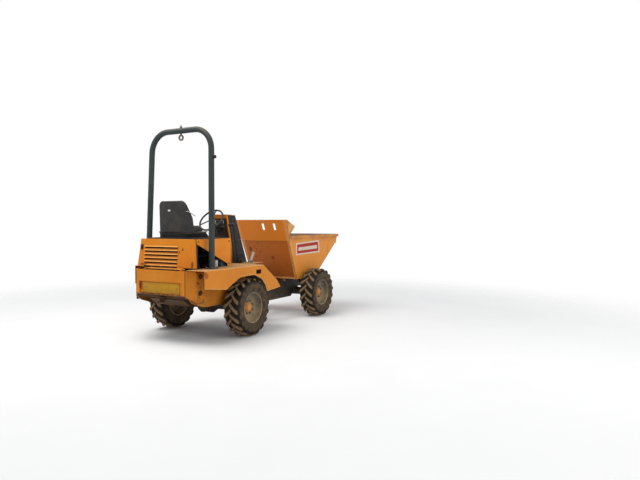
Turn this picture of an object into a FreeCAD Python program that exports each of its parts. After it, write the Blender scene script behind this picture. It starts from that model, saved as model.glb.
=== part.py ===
# Articulated site dumper: rear chassis with engine and driver's place, centre pivot,
# front chassis with a forward-tipping skip. Millimetres, +X right, +Y forward, +Z up.
# Every Y below is counted from the rear axle; save() moves the origin to mid-length.
import FreeCAD, Part
import math
import os

V = FreeCAD.Vector
os.makedirs("parts", exist_ok=True)

# Driving dimensions
PIVOT_Y = 850.0
WHEELBASE = PIVOT_Y + 1080.0
TRACK = 1310.0
REAR_END = -950.0
FRONT_END = WHEELBASE + 760.0
MID_LENGTH = (REAR_END + FRONT_END) / 2
TYRE_R = 380.0
TYRE_HALF = 127.5
WHEEL_X = TRACK / 2
AXLE_Z = TYRE_R
FLOOR_Z = 930.0
DECK_Z = FLOOR_Z + 370.0
DECK_Y = (-755.0, -75.0)
SHEET = 5.0
PLATE = 12.0
FIT = 0.05
GAP = 5.0


def box(x, y, z):
    """Block between the low and high value of each axis."""
    return Part.makeBox(x[1] - x[0], y[1] - y[0], z[1] - z[0], V(x[0], y[0], z[0]))


def face(corners):
    return Part.Face(Part.makePolygon(corners + corners[:1]))


def prism_x(points, low, high):
    """Outline of (y, z) points drawn out along X."""
    return face([V(low, y, z) for y, z in points]).extrude(V(high - low, 0, 0))


def prism_y(points, low, high):
    """Outline of (x, z) points drawn out along Y."""
    return face([V(x, low, z) for x, z in points]).extrude(V(0, high - low, 0))


def prism_z(points, low, high):
    """Outline of (x, y) points drawn out along Z."""
    return face([V(x, y, low) for x, y in points]).extrude(V(0, 0, high - low))


def rod(start, end, radius):
    """Round bar between two points."""
    line = V(*end) - V(*start)
    return Part.makeCylinder(radius, line.Length, V(*start), line)


def turned_x(profile, y=0.0, z=0.0):
    """Solid turned about an axis along X from (x, radius) points."""
    outline = face([V(x, 0, r) for x, r in profile])
    solid = outline.revolve(V(0, 0, 0), V(1, 0, 0), 360)
    solid.translate(V(0, y, z))
    return solid


def faceted_x(profile, sides):
    """Ring about the X axis with flat sides, from (x, distance of the flats) points."""
    corner = 1 / math.cos(math.pi / sides)
    rings = []
    for i in range(sides):
        turn = 2 * math.pi * (i + 0.5) / sides
        rings.append([V(x, r * corner * math.sin(turn), r * corner * math.cos(turn)) for x, r in profile])
    walls = []
    for near, far in zip(rings, rings[1:] + rings[:1]):
        for i in range(len(profile)):
            j = (i + 1) % len(profile)
            walls.append(face([near[i], near[j], far[j], far[i]]))
    return Part.makeSolid(Part.makeShell(walls))


def ribbon(points, thick):
    """Outline of a bent sheet: a line of points and its mitred offset to the left."""
    far = []
    for i, (y, z) in enumerate(points):
        before = points[max(i - 1, 0)]
        after = points[min(i + 1, len(points) - 1)]
        ins = (y - before[0], z - before[1]) if i else (after[0] - y, after[1] - z)
        out = (after[0] - y, after[1] - z) if i < len(points) - 1 else ins
        normals = []
        for dy, dz in (ins, out):
            size = math.hypot(dy, dz)
            normals.append((-dz / size, dy / size))
        my = normals[0][0] + normals[1][0]
        mz = normals[0][1] + normals[1][1]
        scale = 2 * thick / (my * my + mz * mz)
        far.append((y + my * scale, z + mz * scale))
    return points + far[::-1]


def mirrored(shape):
    return shape.mirror(V(0, 0, 0), V(1, 0, 0))


def both(shape):
    """The shape and its mirror image on the other side."""
    return [shape, mirrored(shape)]


def fuse(shapes):
    return shapes[0].multiFuse(shapes[1:]).removeSplitter()


def cut(shape, tools):
    for tool in tools:
        shape = shape.cut(tool)
    return shape


def save(name, shape):
    moved = shape.copy()
    moved.translate(V(0, -MID_LENGTH, 0))
    moved.exportStep("parts/" + name + ".step")


# Wheels: traction tyre with chevron lugs, dished rim, hub with its cap
RIM_R = 195.0
BEAD_X = 100.0
FLANGE_X = 106.0
FLANGE_R = 208.0
RIM_T = 5.0
CROWN_R = 352.0
FLATS = 20
LUGS = 18
LUG_HALF = 82.0
LUG_WIDE = 32.0
LUG_SKEW = 45.0
LUG_X = 60.0
LUG_TALL = 22.6
DISC_X = (12.0, 20.0)
HUB_R = 70.0
HUB_IN = -62.0
SPINDLE_R = 30.0
SPINDLE_END = -5.0

tyre_half = [(BEAD_X, RIM_R), (FLANGE_X, FLANGE_R), (TYRE_HALF, 302.0), (104.0, CROWN_R)]
tyre = faceted_x(tyre_half + [(-x, r) for x, r in tyre_half[::-1]], FLATS)
lug_side = [(-LUG_HALF, -16.0), (-LUG_HALF, LUG_TALL), (62.0, LUG_TALL), (LUG_HALF, -30.0)]
lug = face([V(s, -LUG_WIDE / 2, h) for s, h in lug_side]).extrude(V(0, LUG_WIDE, 0))
lugs = []
for hand in (1, -1):
    for i in range(LUGS):
        bar = lug.copy() if hand > 0 else mirrored(lug)
        bar.rotate(V(0, 0, 0), V(0, 0, 1), -hand * LUG_SKEW)
        bar.translate(V(hand * LUG_X, 0, CROWN_R))
        turn = (i + (0.5 if hand < 0 else 0.0)) * 360.0 / LUGS
        bar.rotate(V(0, 0, 0), V(1, 0, 0), turn)
        lugs.append(bar)
tyre = tyre.multiFuse(lugs)

rim = faceted_x([(-FLANGE_X - RIM_T, RIM_R - RIM_T), (-FLANGE_X - RIM_T, FLANGE_R), (-FLANGE_X, FLANGE_R),
                 (-BEAD_X, RIM_R), (BEAD_X, RIM_R), (FLANGE_X, FLANGE_R), (FLANGE_X + RIM_T, FLANGE_R),
                 (FLANGE_X + RIM_T, RIM_R - RIM_T),
                 (60.0, RIM_R - 9), (DISC_X[1], RIM_R - 28), (DISC_X[1], HUB_R), (DISC_X[0], HUB_R),
                 (DISC_X[0], RIM_R - 28), (-30.0, RIM_R - 9)], FLATS)
hub = turned_x([(HUB_IN, SPINDLE_R + FIT), (HUB_IN, HUB_R), (DISC_X[0] - 10, HUB_R), (DISC_X[0] - 10, 98.0),
                (DISC_X[0], 98.0), (DISC_X[0], HUB_R), (DISC_X[1] + 4, HUB_R), (DISC_X[1] + 8, 60.0),
                (DISC_X[1] + 22, 52.0), (DISC_X[1] + 28, 42.0), (DISC_X[1] + 28, 0.0), (0.0, 0.0),
                (0.0, SPINDLE_R + FIT)])
for tag, side, y in (("front_right", 1, WHEELBASE), ("front_left", -1, WHEELBASE),
                     ("rear_right", 1, 0.0), ("rear_left", -1, 0.0)):
    for name, piece in (("tyre", tyre), ("rim", rim), ("hub", hub)):
        placed = piece.copy() if side > 0 else mirrored(piece)
        placed.translate(V(side * WHEEL_X, y, AXLE_Z))
        save(name + "_" + tag, placed)

# Axles: drive head in the middle, tubes, flanges and spindles
HEAD_R = 115.0
TUBE_R = 55.0
AXLE_FLANGE = (WHEEL_X + HUB_IN - 14.0, WHEEL_X + HUB_IN - 4.0)
axle_half = [(0.0, HEAD_R), (85.0, HEAD_R), (160.0, 64.0), (AXLE_FLANGE[0], TUBE_R), (AXLE_FLANGE[0], 82.0),
             (AXLE_FLANGE[1], 82.0), (AXLE_FLANGE[1], SPINDLE_R), (WHEEL_X + SPINDLE_END, SPINDLE_R),
             (WHEEL_X + SPINDLE_END, 0.0)]
axle_outline = axle_half + [(-x, r) for x, r in axle_half[:0:-1]]
rear_axle = turned_x(axle_outline, 0.0, AXLE_Z)
front_axle = turned_x(axle_outline, WHEELBASE, AXLE_Z)
save("rear_axle", rear_axle)
save("front_axle", front_axle)

# Rear frame: two side plates, cross plates, pivot lugs with the king pin
FRAME_X = (428.0, 440.0)
FRAME_TOP = FLOOR_Z - 6.0
FRAME_LOW = 470.0
BELLY_Z = 436.0
ARM_LOW = 540.0
FRAME_REAR = REAR_END + 70.0
FRAME_FRONT = 480.0
PIVOT_Z = 532.5
LUG_GAP = 107.5
LUG_T = 25.0
KING_R = 25.0
LUG_R = 60.0
STEER_X = -140.0
STEER_Y = FRAME_FRONT + 30.0
STEER_PIN_R = 12.0
EYE_HALF = 15.0
EAR_T = 15.0
EAR_GAP = 3.0
EAR_REACH = 22.0
side_plate = prism_x([(FRAME_REAR, FRAME_TOP), (FRAME_REAR, 560.0), (FRAME_REAR + 50, 510.0), (-640.0, 446.0),
                      (-560.0, BELLY_Z), (-130.0, BELLY_Z), (-90.0, FRAME_LOW), (360.0, FRAME_LOW),
                      (FRAME_FRONT, 400.0), (FRAME_FRONT, FRAME_TOP)], *FRAME_X)
inside = (-FRAME_X[0], FRAME_X[0])
frame = both(side_plate)
frame.append(box(inside, (FRAME_REAR, FRAME_REAR + PLATE), (560.0, 905.0)))
frame.append(box(inside, (FRAME_FRONT - PLATE, FRAME_FRONT), (400.0, FRAME_TOP)))
for y in (-640.0, -200.0, 380.0):
    frame.append(box(inside, (y, y + 60.0), (500.0, 520.0)))
frame.append(box(inside, (-755.0, -690.0), (580.0, 600.0)))
frame.append(prism_x([(-820.0, ARM_LOW), (-700.0, 450.0), (-640.0, BELLY_Z), (-575.0, BELLY_Z),
                      (-575.0, 505.0), (-645.0, 505.0), (-690.0, ARM_LOW)], -290.0, 290.0))
saddle = box((360.0, FRAME_X[1]), (-TUBE_R, TUBE_R), (AXLE_Z + 20.0, FRAME_LOW + 10.0)).cut(rear_axle)
frame += both(saddle)
for low in (PIVOT_Z - LUG_GAP - LUG_T, PIVOT_Z + LUG_GAP):
    arm = prism_z([(-150.0, FRAME_FRONT), (150.0, FRAME_FRONT), (LUG_R, PIVOT_Y), (-LUG_R, PIVOT_Y)],
                  low, low + LUG_T)
    frame += [arm, rod((0, PIVOT_Y, low), (0, PIVOT_Y, low + LUG_T), LUG_R)]
frame.append(box((-8.0, 8.0), (FRAME_FRONT, 690.0), (PIVOT_Z - LUG_GAP, PIVOT_Z + LUG_GAP)))
frame.append(rod((0, PIVOT_Y, PIVOT_Z - LUG_GAP - LUG_T - 12), (0, PIVOT_Y, PIVOT_Z + LUG_GAP + LUG_T + 14),
                 KING_R))
for low in (PIVOT_Z - EYE_HALF - EAR_GAP - EAR_T, PIVOT_Z + EYE_HALF + EAR_GAP):
    frame.append(box((STEER_X - 26, STEER_X + 26), (FRAME_FRONT, STEER_Y + EAR_REACH), (low, low + EAR_T)))
frame.append(rod((STEER_X, STEER_Y, PIVOT_Z - 33), (STEER_X, STEER_Y, PIVOT_Z + 33), STEER_PIN_R))
rear_frame = fuse(frame)
save("rear_frame", rear_frame)

# Counterweight casting with the hinge lugs of the engine cover, and its blank plate
CAST_X = (410.0, 510.0)
CAST_Y = (REAR_END + 20.0, REAR_END + 120.0, -700.0)
CAST_Z = (510.0, 912.0)
RECESS_Y = CAST_Y[0] + 18.0
RECESS_Z = (612.0, 768.0)
EDGE = 12.0
COVER_HINGE = (FRAME_REAR + 38.0, CAST_Z[1] + 15.0)
COVER_PIN_R = 7.0
cast_half = [(CAST_X[0], CAST_Y[0]), (CAST_X[1], CAST_Y[1]), (CAST_X[1], CAST_Y[2]), (FRAME_X[1], CAST_Y[2]),
             (FRAME_X[1], FRAME_REAR)]
casting = prism_z(cast_half + [(-x, y) for x, y in cast_half[::-1]], *CAST_Z)
under = prism_y([(-CAST_X[0], CAST_Z[0] + 90), (CAST_X[0], CAST_Z[0] + 90), (CAST_X[1], CAST_Z[0] - 10),
                 (-CAST_X[1], CAST_Z[0] - 10)], CAST_Y[0] - 10, CAST_Y[2] + 10)
recess = box((-350.0, 350.0), (CAST_Y[0] - 10, RECESS_Y), RECESS_Z)
ear_side = [(FRAME_REAR - 25, CAST_Z[1]), (COVER_HINGE[0] + 12, CAST_Z[1]),
            (COVER_HINGE[0] + 12, COVER_HINGE[1] + 12), (COVER_HINGE[0] - 11, COVER_HINGE[1] + 12),
            (FRAME_REAR - 25, CAST_Z[1] + 8)]
hinge_lugs = []
for x in (300.0, -300.0 - EDGE):
    hole = rod((x - 1, *COVER_HINGE), (x + EDGE + 1, *COVER_HINGE), COVER_PIN_R + FIT)
    hinge_lugs.append(prism_x(ear_side, x, x + EDGE).cut(hole))
save("counterweight", fuse([cut(casting, [under, recess])] + hinge_lugs))
save("number_plate", box((-310.0, 310.0), (RECESS_Y - 4, RECESS_Y), (RECESS_Z[0] + EDGE, RECESS_Z[1] - EDGE)))

# Tow hitch: jaw under the casting, with the pin hole for a drawbar
HITCH_HOLE_R = 13.0
HITCH_Y = REAR_END + 35.0
jaw = [box((-40.0, 40.0), (REAR_END, FRAME_REAR), (low, low + PLATE)) for low in (512.0, 572.0)]
jaw.append(box((-40.0, 40.0), (FRAME_REAR - 14.0, FRAME_REAR), (512.0, 584.0)))
jaw.append(box((-40.0, 40.0), (FRAME_REAR, -700.0), (ARM_LOW, ARM_LOW + 16)))
save("tow_hitch", fuse(jaw).cut(rod((0, HITCH_Y, 500.0), (0, HITCH_Y, 590.0), HITCH_HOLE_R)))

# Engine: crankcase with sump, three barrels with heads, cowl, manifold, pump, starter and gearbox
ENGINE_Z = 520.0
CRANK_TOP = 850.0
HEAD_TOP = DECK_Z - 180.0
MANIFOLD_Z = HEAD_TOP - 45.0
CLEANER = (-250.0, DECK_Z - 100.0)
engine = [box((-180.0, 180.0), (-650.0, -160.0), (ENGINE_Z, CRANK_TOP)),
          box((-140.0, 140.0), (-560.0, -220.0), (450.0, ENGINE_Z)),
          box((-130.0, 130.0), (-160.0, 430.0), (ENGINE_Z, 760.0)),
          box((-200.0, -70.0), (-640.0, -180.0), (CRANK_TOP, HEAD_TOP - 40)),
          box((180.0, 216.0), (-540.0, -330.0), (650.0, 740.0)),
          prism_y([(-190.0, ENGINE_Z), (190.0, ENGINE_Z), (190.0, 720.0), (110.0, 810.0), (-110.0, 810.0),
                   (-190.0, 720.0)], -185.0, -150.0),
          rod((178.0, -420.0, 590.0), (178.0, -180.0, 590.0), 40.0),
          rod((140.0, -600.0, MANIFOLD_Z), (140.0, -200.0, MANIFOLD_Z), 30.0),
          rod((-150.0, *CLEANER), (150.0, *CLEANER), 62.0),
          rod((0.0, CLEANER[0], HEAD_TOP), (0.0, *CLEANER), 26.0)]
for y in (CLEANER[0] - 320, CLEANER[0] - 160, CLEANER[0]):
    engine.append(rod((0.0, y, CRANK_TOP - 5), (0.0, y, HEAD_TOP - 110), 64.0))
    engine.append(box((-75.0, 75.0), (y - 66, y + 66), (HEAD_TOP - 120, HEAD_TOP - 30)))
    engine.append(box((-55.0, 55.0), (y - 55, y + 55), (HEAD_TOP - 30, HEAD_TOP)))
    engine.append(rod((70.0, y, MANIFOLD_Z), (140.0, y, MANIFOLD_Z), 20.0))
save("engine", fuse(engine))

# Radiator behind the louvres, in a shroud that reaches the posts of the seat deck
POST_X = FRAME_X[0] - 16
save("radiator", box((-POST_X, POST_X), (DECK_Y[0], DECK_Y[0] + 65), (600.0, DECK_Z - 45)))

# Engine cover: rear lid with louvres, hinged along its lower edge
COVER_Z = (CAST_Z[1] + 33.0, DECK_Z)
COVER_HALF = (485.0, 445.0)
COVER_Y = (COVER_HINGE[0] + 12.0, COVER_HINGE[0] + 42.0)
LOUVRE_X = (-370.0, 190.0)
LOUVRES = 6
LOUVRE_TOP = DECK_Z - 95.0
LOUVRE_PITCH = 48.0
LOUVRE_SLOT = 19.0
lean = math.degrees(math.atan2(COVER_Y[1] - COVER_Y[0], COVER_Z[1] - COVER_Z[0]))
outline = [(-COVER_HALF[0], COVER_Z[0]), (COVER_HALF[0], COVER_Z[0]),
           (COVER_HALF[1], COVER_Z[1]), (-COVER_HALF[1], COVER_Z[1])]
lid = [prism_y(outline, COVER_Y[0], COVER_Y[0] + SHEET)]
flange = prism_y([(COVER_HALF[0] - SHEET, COVER_Z[0]), (COVER_HALF[0], COVER_Z[0]),
                  (COVER_HALF[1], COVER_Z[1]), (COVER_HALF[1] - SHEET, COVER_Z[1])],
                 COVER_Y[0], COVER_Y[0] + 32.0)
lid += both(flange)
lid.append(box((-COVER_HALF[1], COVER_HALF[1]), (COVER_Y[0], COVER_Y[0] + 32.0),
               (COVER_Z[1] - SHEET, COVER_Z[1])))
slots = []
for i in range(LOUVRES):
    z = LOUVRE_TOP - i * LOUVRE_PITCH
    slots.append(box(LOUVRE_X, (COVER_Y[0] - 1, COVER_Y[0] + SHEET + 1), (z - LOUVRE_SLOT, z)))
    lid.append(prism_x([(COVER_Y[0], z + 10.0), (COVER_Y[0] - 12.0, z - 3.0), (COVER_Y[0] - 9.0, z - 5.0),
                        (COVER_Y[0], z)], LOUVRE_X[0] - 4, LOUVRE_X[1] + 4))
lid = cut(fuse(lid), slots)
lid.rotate(V(0, COVER_Y[0], COVER_Z[0]), V(1, 0, 0), -lean)
leaf = box((-280.0, 280.0), (COVER_HINGE[0], COVER_Y[0] + SHEET), (COVER_HINGE[1] - 3, COVER_HINGE[1] + 3))
riser = box((-280.0, 280.0), (COVER_Y[0], COVER_Y[0] + SHEET), (COVER_HINGE[1], COVER_Z[0] + 2))
pin = rod((-330.0, *COVER_HINGE), (330.0, *COVER_HINGE), COVER_PIN_R)
save("engine_cover", fuse([lid, leaf, riser, pin]))

# Seat deck over the engine: top, front bulkhead and side panels cut away on the slant
DECK_X = 445.0
deck_side = prism_x([(DECK_Y[0], DECK_Z), (DECK_Y[0], 1244.0), (-145.0, 965.0), (-145.0, FLOOR_Z),
                     (DECK_Y[1], FLOOR_Z), (DECK_Y[1], DECK_Z)], DECK_X - SHEET, DECK_X)
deck_post = box((POST_X, DECK_X - SHEET), (DECK_Y[0], DECK_Y[0] + 25.0), (FRAME_TOP, DECK_Z - SHEET))
deck = both(deck_side) + both(deck_post)
deck.append(box((-DECK_X, DECK_X), DECK_Y, (DECK_Z - SHEET, DECK_Z)))
deck.append(box((-DECK_X, DECK_X), (DECK_Y[1] - SHEET, DECK_Y[1]), (FLOOR_Z, DECK_Z)))
save("seat_deck", fuse(deck))

# Seat: mat and plinth, shell with side wings, cushion and back pad
SEAT_HALF = 240.0
SEAT_REAR = -705.0
SHELL_T = 22.0
WING_IN = 4.0
WING_LEAN = 3.5
PAN_Z = DECK_Z + 95.0
SEAT_TOP = PAN_Z + 390.0
BACK_LEAN = 5.0
CUSHION_T = 75.0
base = [box((-410.0, 410.0), (DECK_Y[0] + 10, DECK_Y[1] - 20), (DECK_Z, DECK_Z + 14.0)),
        prism_x([(SEAT_REAR + 10, DECK_Z + 14), (-240.0, DECK_Z + 14), (-310.0, PAN_Z - 15),
                 (SEAT_REAR + 10, PAN_Z - 15)], -SEAT_HALF + 20, SEAT_HALF - 20)]
save("seat_base", fuse(base))
pan = box((-SEAT_HALF, SEAT_HALF), (SEAT_REAR, -300.0), (PAN_Z - 15, PAN_Z))
back_outline = [(-SEAT_HALF, PAN_Z - 8), (SEAT_HALF, PAN_Z - 8), (SEAT_HALF - 25, SEAT_TOP - 30),
                (SEAT_HALF - 55, SEAT_TOP), (55 - SEAT_HALF, SEAT_TOP), (25 - SEAT_HALF, SEAT_TOP - 30)]
back = [prism_y(back_outline, SEAT_REAR, SEAT_REAR + SHELL_T)]
wing = prism_x([(SEAT_REAR + 8, PAN_Z - 8), (SEAT_REAR + 135, PAN_Z - 20), (SEAT_REAR + 140, PAN_Z + 180),
                (SEAT_REAR + SHELL_T + 8, SEAT_TOP - 35), (SEAT_REAR + 8, SEAT_TOP - 35)],
               SEAT_HALF - SHELL_T - WING_IN, SEAT_HALF - WING_IN)
wing.rotate(V(SEAT_HALF, 0, PAN_Z), V(0, 1, 0), -WING_LEAN)
shell = fuse(back + both(wing))
shell.rotate(V(0, SEAT_REAR, PAN_Z), V(1, 0, 0), BACK_LEAN)
save("seat_shell", fuse([pan, shell]))
cushion_half = SEAT_HALF - SHELL_T - WING_IN - 8
save("seat_cushion", box((-cushion_half, cushion_half), (SEAT_REAR + SHELL_T + 8, -290.0),
                         (PAN_Z, PAN_Z + CUSHION_T)))
pad_half = cushion_half - 10
pad_outline = [(-pad_half, PAN_Z + CUSHION_T + 15), (pad_half, PAN_Z + CUSHION_T + 15),
               (pad_half - 22, SEAT_TOP - 40), (22 - pad_half, SEAT_TOP - 40)]
pad = prism_y(pad_outline, SEAT_REAR + SHELL_T, SEAT_REAR + SHELL_T + 52)
pad.rotate(V(0, SEAT_REAR, PAN_Z), V(1, 0, 0), BACK_LEAN)
save("seat_back_pad", pad)

# Mudguards: bent top sheet, skirt with the arch over the tyre, inner plate on the frame
GUARD_X = (FRAME_X[1], 725.0)
GUARD_REAR = {"right": -940.0, "left": -650.0}
SKIRT_LOW = (-520.0, 673.0)
SKIRT_RISE = 0.112


def mudguard(rear):
    """Right-hand mudguard that ends at the given distance behind the axle."""
    low = SKIRT_LOW[1] + SKIRT_RISE * (SKIRT_LOW[0] - rear)
    front = [(716.0, 590.0), (628.0, 690.0), (290.0, FLOOR_Z)]
    top_sheet = prism_x(ribbon(front + [(rear, FLOOR_Z)], 6.0), *GUARD_X)
    skirt_line = [(rear, FLOOR_Z), (rear, low), SKIRT_LOW, (-400.0, 735.0), (-230.0, 808.0),
                  (80.0, 812.0), (250.0, 745.0), (345.0, 650.0), (385.0, 560.0)] + front
    hole = box((GUARD_X[1] - 20, GUARD_X[1] + 20), (120.0, 235.0), (815.0, 872.0))
    skirt = prism_x(skirt_line, GUARD_X[1] - SHEET, GUARD_X[1]).cut(hole)
    inner_arch = prism_x([(-640.0, FLOOR_Z - 6), (-640.0, 700.0), (-520.0, 690.0), (-400.0, 750.0),
                          (-230.0, 822.0), (80.0, 826.0), (250.0, 760.0), (345.0, 665.0), (385.0, 575.0),
                          (600.0, 600.0), (560.0, 720.0), (290.0, FLOOR_Z - 6)],
                         GUARD_X[0], GUARD_X[0] + SHEET)
    return fuse([top_sheet, skirt, inner_arch])


save("mudguard_right", mudguard(GUARD_REAR["right"]))
save("mudguard_left", mirrored(mudguard(GUARD_REAR["left"])))

# Floor, console with its black cover and dash
FLOOR_FRONT = 700.0
CONSOLE_HALF = 160.0
CONSOLE_TOP = 1625.0
floor = box((-GUARD_X[0], GUARD_X[0]), (DECK_Y[1], FLOOR_FRONT), (FRAME_TOP, FLOOR_Z))
save("floor_plate", floor)
rear_line = [(410.0, CONSOLE_TOP - 5), (200.0, CONSOLE_TOP), (235.0, 1430.0), (300.0, 1200.0),
             (300.0, FLOOR_Z)]
console = [prism_x(ribbon(rear_line, SHEET), -CONSOLE_HALF, CONSOLE_HALF)]
edge = prism_x(rear_line[1:] + [(330.0, FLOOR_Z), (330.0, 1205.0), (265.0, 1437.0), (232.0, CONSOLE_TOP)],
               CONSOLE_HALF - SHEET, CONSOLE_HALF)
console += both(edge)
console_solid = fuse(console)
save("console", console_solid)
cover_line = [(680.0, FLOOR_Z), (410.0, CONSOLE_TOP - 35), (400.0, CONSOLE_TOP - 13)]
cover_side = prism_x([(335.0, FLOOR_Z)] + cover_line + [(240.0, CONSOLE_TOP - 13), (272.0, 1437.0),
                                                        (335.0, 1205.0)], CONSOLE_HALF - SHEET, CONSOLE_HALF)
cover = fuse(both(cover_side) + [prism_x(ribbon(cover_line, SHEET), -CONSOLE_HALF, CONSOLE_HALF)])
save("console_cover", cut(cover, [console_solid, floor]))
dash = prism_x([(212.0, 1570.0), (235.0, 1430.0), (271.0, 1302.0), (262.0, 1300.0), (226.0, 1428.0),
                (203.0, 1569.0)], -CONSOLE_HALF + 12, CONSOLE_HALF - 12)
save("dash", dash.cut(console_solid))

# Steering column and wheel, control levers and pedals
COLUMN_FOOT = (0.0, 245.0, 1395.0)
WHEEL_AT = (0.0, 65.0, 1545.0)
WHEEL_R = 180.0
axis = (V(*WHEEL_AT) - V(*COLUMN_FOOT)).normalize()
column = rod(COLUMN_FOOT, tuple(V(*WHEEL_AT) - axis * 12), 24.0).cut(console_solid).cut(dash)
save("steering_column", max(column.Solids, key=lambda solid: solid.Volume))
GRIP_R = 13.0
grip = [V(WHEEL_R + GRIP_R * math.cos(a), 0, GRIP_R * math.sin(a)) for a in
        [math.radians(22.5 + 45.0 * i) for i in range(8)]]
wheel_ring = face(grip).revolve(V(0, 0, 0), V(0, 0, 1), 360)
wheel_place = FreeCAD.Placement(V(*WHEEL_AT), FreeCAD.Rotation(V(0, 0, 1), axis))
wheel_ring.Placement = wheel_place
boss = Part.makeCylinder(34.0, 24.0, V(*WHEEL_AT) - axis * 12, axis)
spokes = []
for turn in (90.0, 210.0, 330.0):
    spoke = box((-12.0, 12.0), (0.0, WHEEL_R), (-4.0, 4.0))
    spoke.rotate(V(0, 0, 0), V(0, 0, 1), turn - 90.0)
    spoke.Placement = wheel_place.multiply(spoke.Placement)
    spokes.append(spoke)
save("steering_wheel", fuse([wheel_ring, boss] + spokes))
levers = []
for x, y in ((205.0, 330.0), (240.0, 360.0)):
    foot = (x, y, FLOOR_Z + 6)
    tip = (x + 12.0, y - 130.0, 1480.0)
    levers += [rod(foot, tip, 8.0), Part.makeSphere(20.0, V(*tip))]
    levers.append(box((x - 18, x + 18), (y - 22, y + 22), (FLOOR_Z, FLOOR_Z + 14)))
save("control_levers", fuse(levers))
pedals = []
for x in (-250.0, 290.0):
    pad_shape = box((x - 40, x + 40), (0.0, 8.0), (0.0, 110.0))
    pad_shape.rotate(V(x, 0, 0), V(1, 0, 0), -40.0)
    pad_shape.translate(V(0, 330.0, FLOOR_Z + 45))
    stem = prism_x([(350.0, FLOOR_Z), (385.0, FLOOR_Z), (375.0, FLOOR_Z + 92), (360.0, FLOOR_Z + 76)],
                   x - 10, x + 10)
    pedals += [pad_shape, stem]
save("pedals", fuse(pedals))
lock_bar = prism_x([(470.0, FLOOR_Z), (520.0, FLOOR_Z), (610.0, 1075.0), (565.0, 1090.0)], 345.0, 357.0)
save("lock_bar", lock_bar)

# Roll-over hoop: bent tube on foot plates, with the lifting eye in its crossbar
HOOP_R = 37.5
HOOP_Y = -585.0
HOOP_BEND = 270.0
HOOP_TOP = 2702.0
FOOT_T = 12.0
hoop_line = [V(-542.0, HOOP_Y, FLOOR_Z + FOOT_T), V(-500.0, HOOP_Y + 56, HOOP_TOP),
             V(500.0, HOOP_Y + 56, HOOP_TOP), V(542.0, HOOP_Y, FLOOR_Z + FOOT_T)]


def rounded(points, radius):
    """Line through the points with a round bend at each inner one."""
    edges = []
    at = points[0]
    for before, corner, after in zip(points, points[1:], points[2:]):
        back = (before - corner).normalize()
        ahead = (after - corner).normalize()
        half = back.getAngle(ahead) / 2
        reach = radius / math.tan(half)
        middle = corner + (back + ahead).normalize() * (radius / math.sin(half) - radius)
        edges.append(Part.makeLine(at, corner + back * reach))
        edges.append(Part.Arc(corner + back * reach, middle, corner + ahead * reach).toShape())
        at = corner + ahead * reach
    edges.append(Part.makeLine(at, points[-1]))
    return Part.Wire(edges)


path = rounded(hoop_line, HOOP_BEND)
ring = Part.Wire([Part.makeCircle(HOOP_R, hoop_line[0], hoop_line[1] - hoop_line[0])])
tube = path.makePipeShell([ring], True, False)
tube = cut(tube, [box((-700.0, 700.0), (-700.0, -400.0), (FLOOR_Z - 60, FLOOR_Z + FOOT_T))])
feet = both(box((482.0, 602.0), (HOOP_Y - 60, HOOP_Y + 60), (FLOOR_Z, FLOOR_Z + FOOT_T)))
hoop = fuse([tube] + feet)
save("hoop", hoop)
EYE_R = 22.0
EYE_OUT = 40.0
EYE_T = 16.0
EYE_Y = HOOP_Y + 56
EYE_Z = HOOP_TOP - HOOP_R - 52.0
eye = [rod((0, EYE_Y - EYE_T / 2, EYE_Z), (0, EYE_Y + EYE_T / 2, EYE_Z), EYE_OUT),
       rod((0, EYE_Y, EYE_Z + 30), (0, EYE_Y, HOOP_TOP), 12.0)]
shank = rod((0, EYE_Y, HOOP_TOP), (0, EYE_Y, HOOP_TOP + HOOP_R + 32), 9.0)
nut = rod((0, EYE_Y, HOOP_TOP), (0, EYE_Y, HOOP_TOP + HOOP_R + 12), 17.0)
hole = rod((0, EYE_Y - 20, EYE_Z), (0, EYE_Y + 20, EYE_Z), EYE_R)
save("lifting_eye", fuse(eye + [shank, nut]).cut(hoop).cut(hole))

# Centre pivot yoke: block round the king pin, arm for the steering ram, roll shaft
YOKE_HALF = 50.0
SHAFT_R = 45.0
BEARING_Y = (PIVOT_Y + 80.0, PIVOT_Y + 210.0)
STEER_EYE = (-130.0, PIVOT_Y + 50.0)
yoke = [box((-YOKE_HALF, YOKE_HALF), (PIVOT_Y - 50, PIVOT_Y + 40),
            (PIVOT_Z - LUG_GAP + GAP, PIVOT_Z + LUG_GAP - GAP)),
        rod((0, PIVOT_Y + 40, PIVOT_Z), (0, BEARING_Y[0] - GAP, PIVOT_Z), 62.0),
        rod((0, PIVOT_Y + 40, PIVOT_Z), (0, BEARING_Y[1] + 17, PIVOT_Z), SHAFT_R),
        rod((0, BEARING_Y[1] + GAP, PIVOT_Z), (0, BEARING_Y[1] + 17, PIVOT_Z), 60.0)]
for low in (PIVOT_Z - EYE_HALF - EAR_GAP - EAR_T, PIVOT_Z + EYE_HALF + EAR_GAP):
    yoke.append(box((STEER_EYE[0] - 25, -YOKE_HALF + 2), (STEER_EYE[1] - EAR_REACH, STEER_EYE[1] + 25),
                    (low, low + EAR_T)))
king_hole = rod((0, PIVOT_Y, PIVOT_Z - 200), (0, PIVOT_Y, PIVOT_Z + 200), KING_R + FIT)
save("pivot_yoke", fuse(yoke).cut(king_hole))

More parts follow.
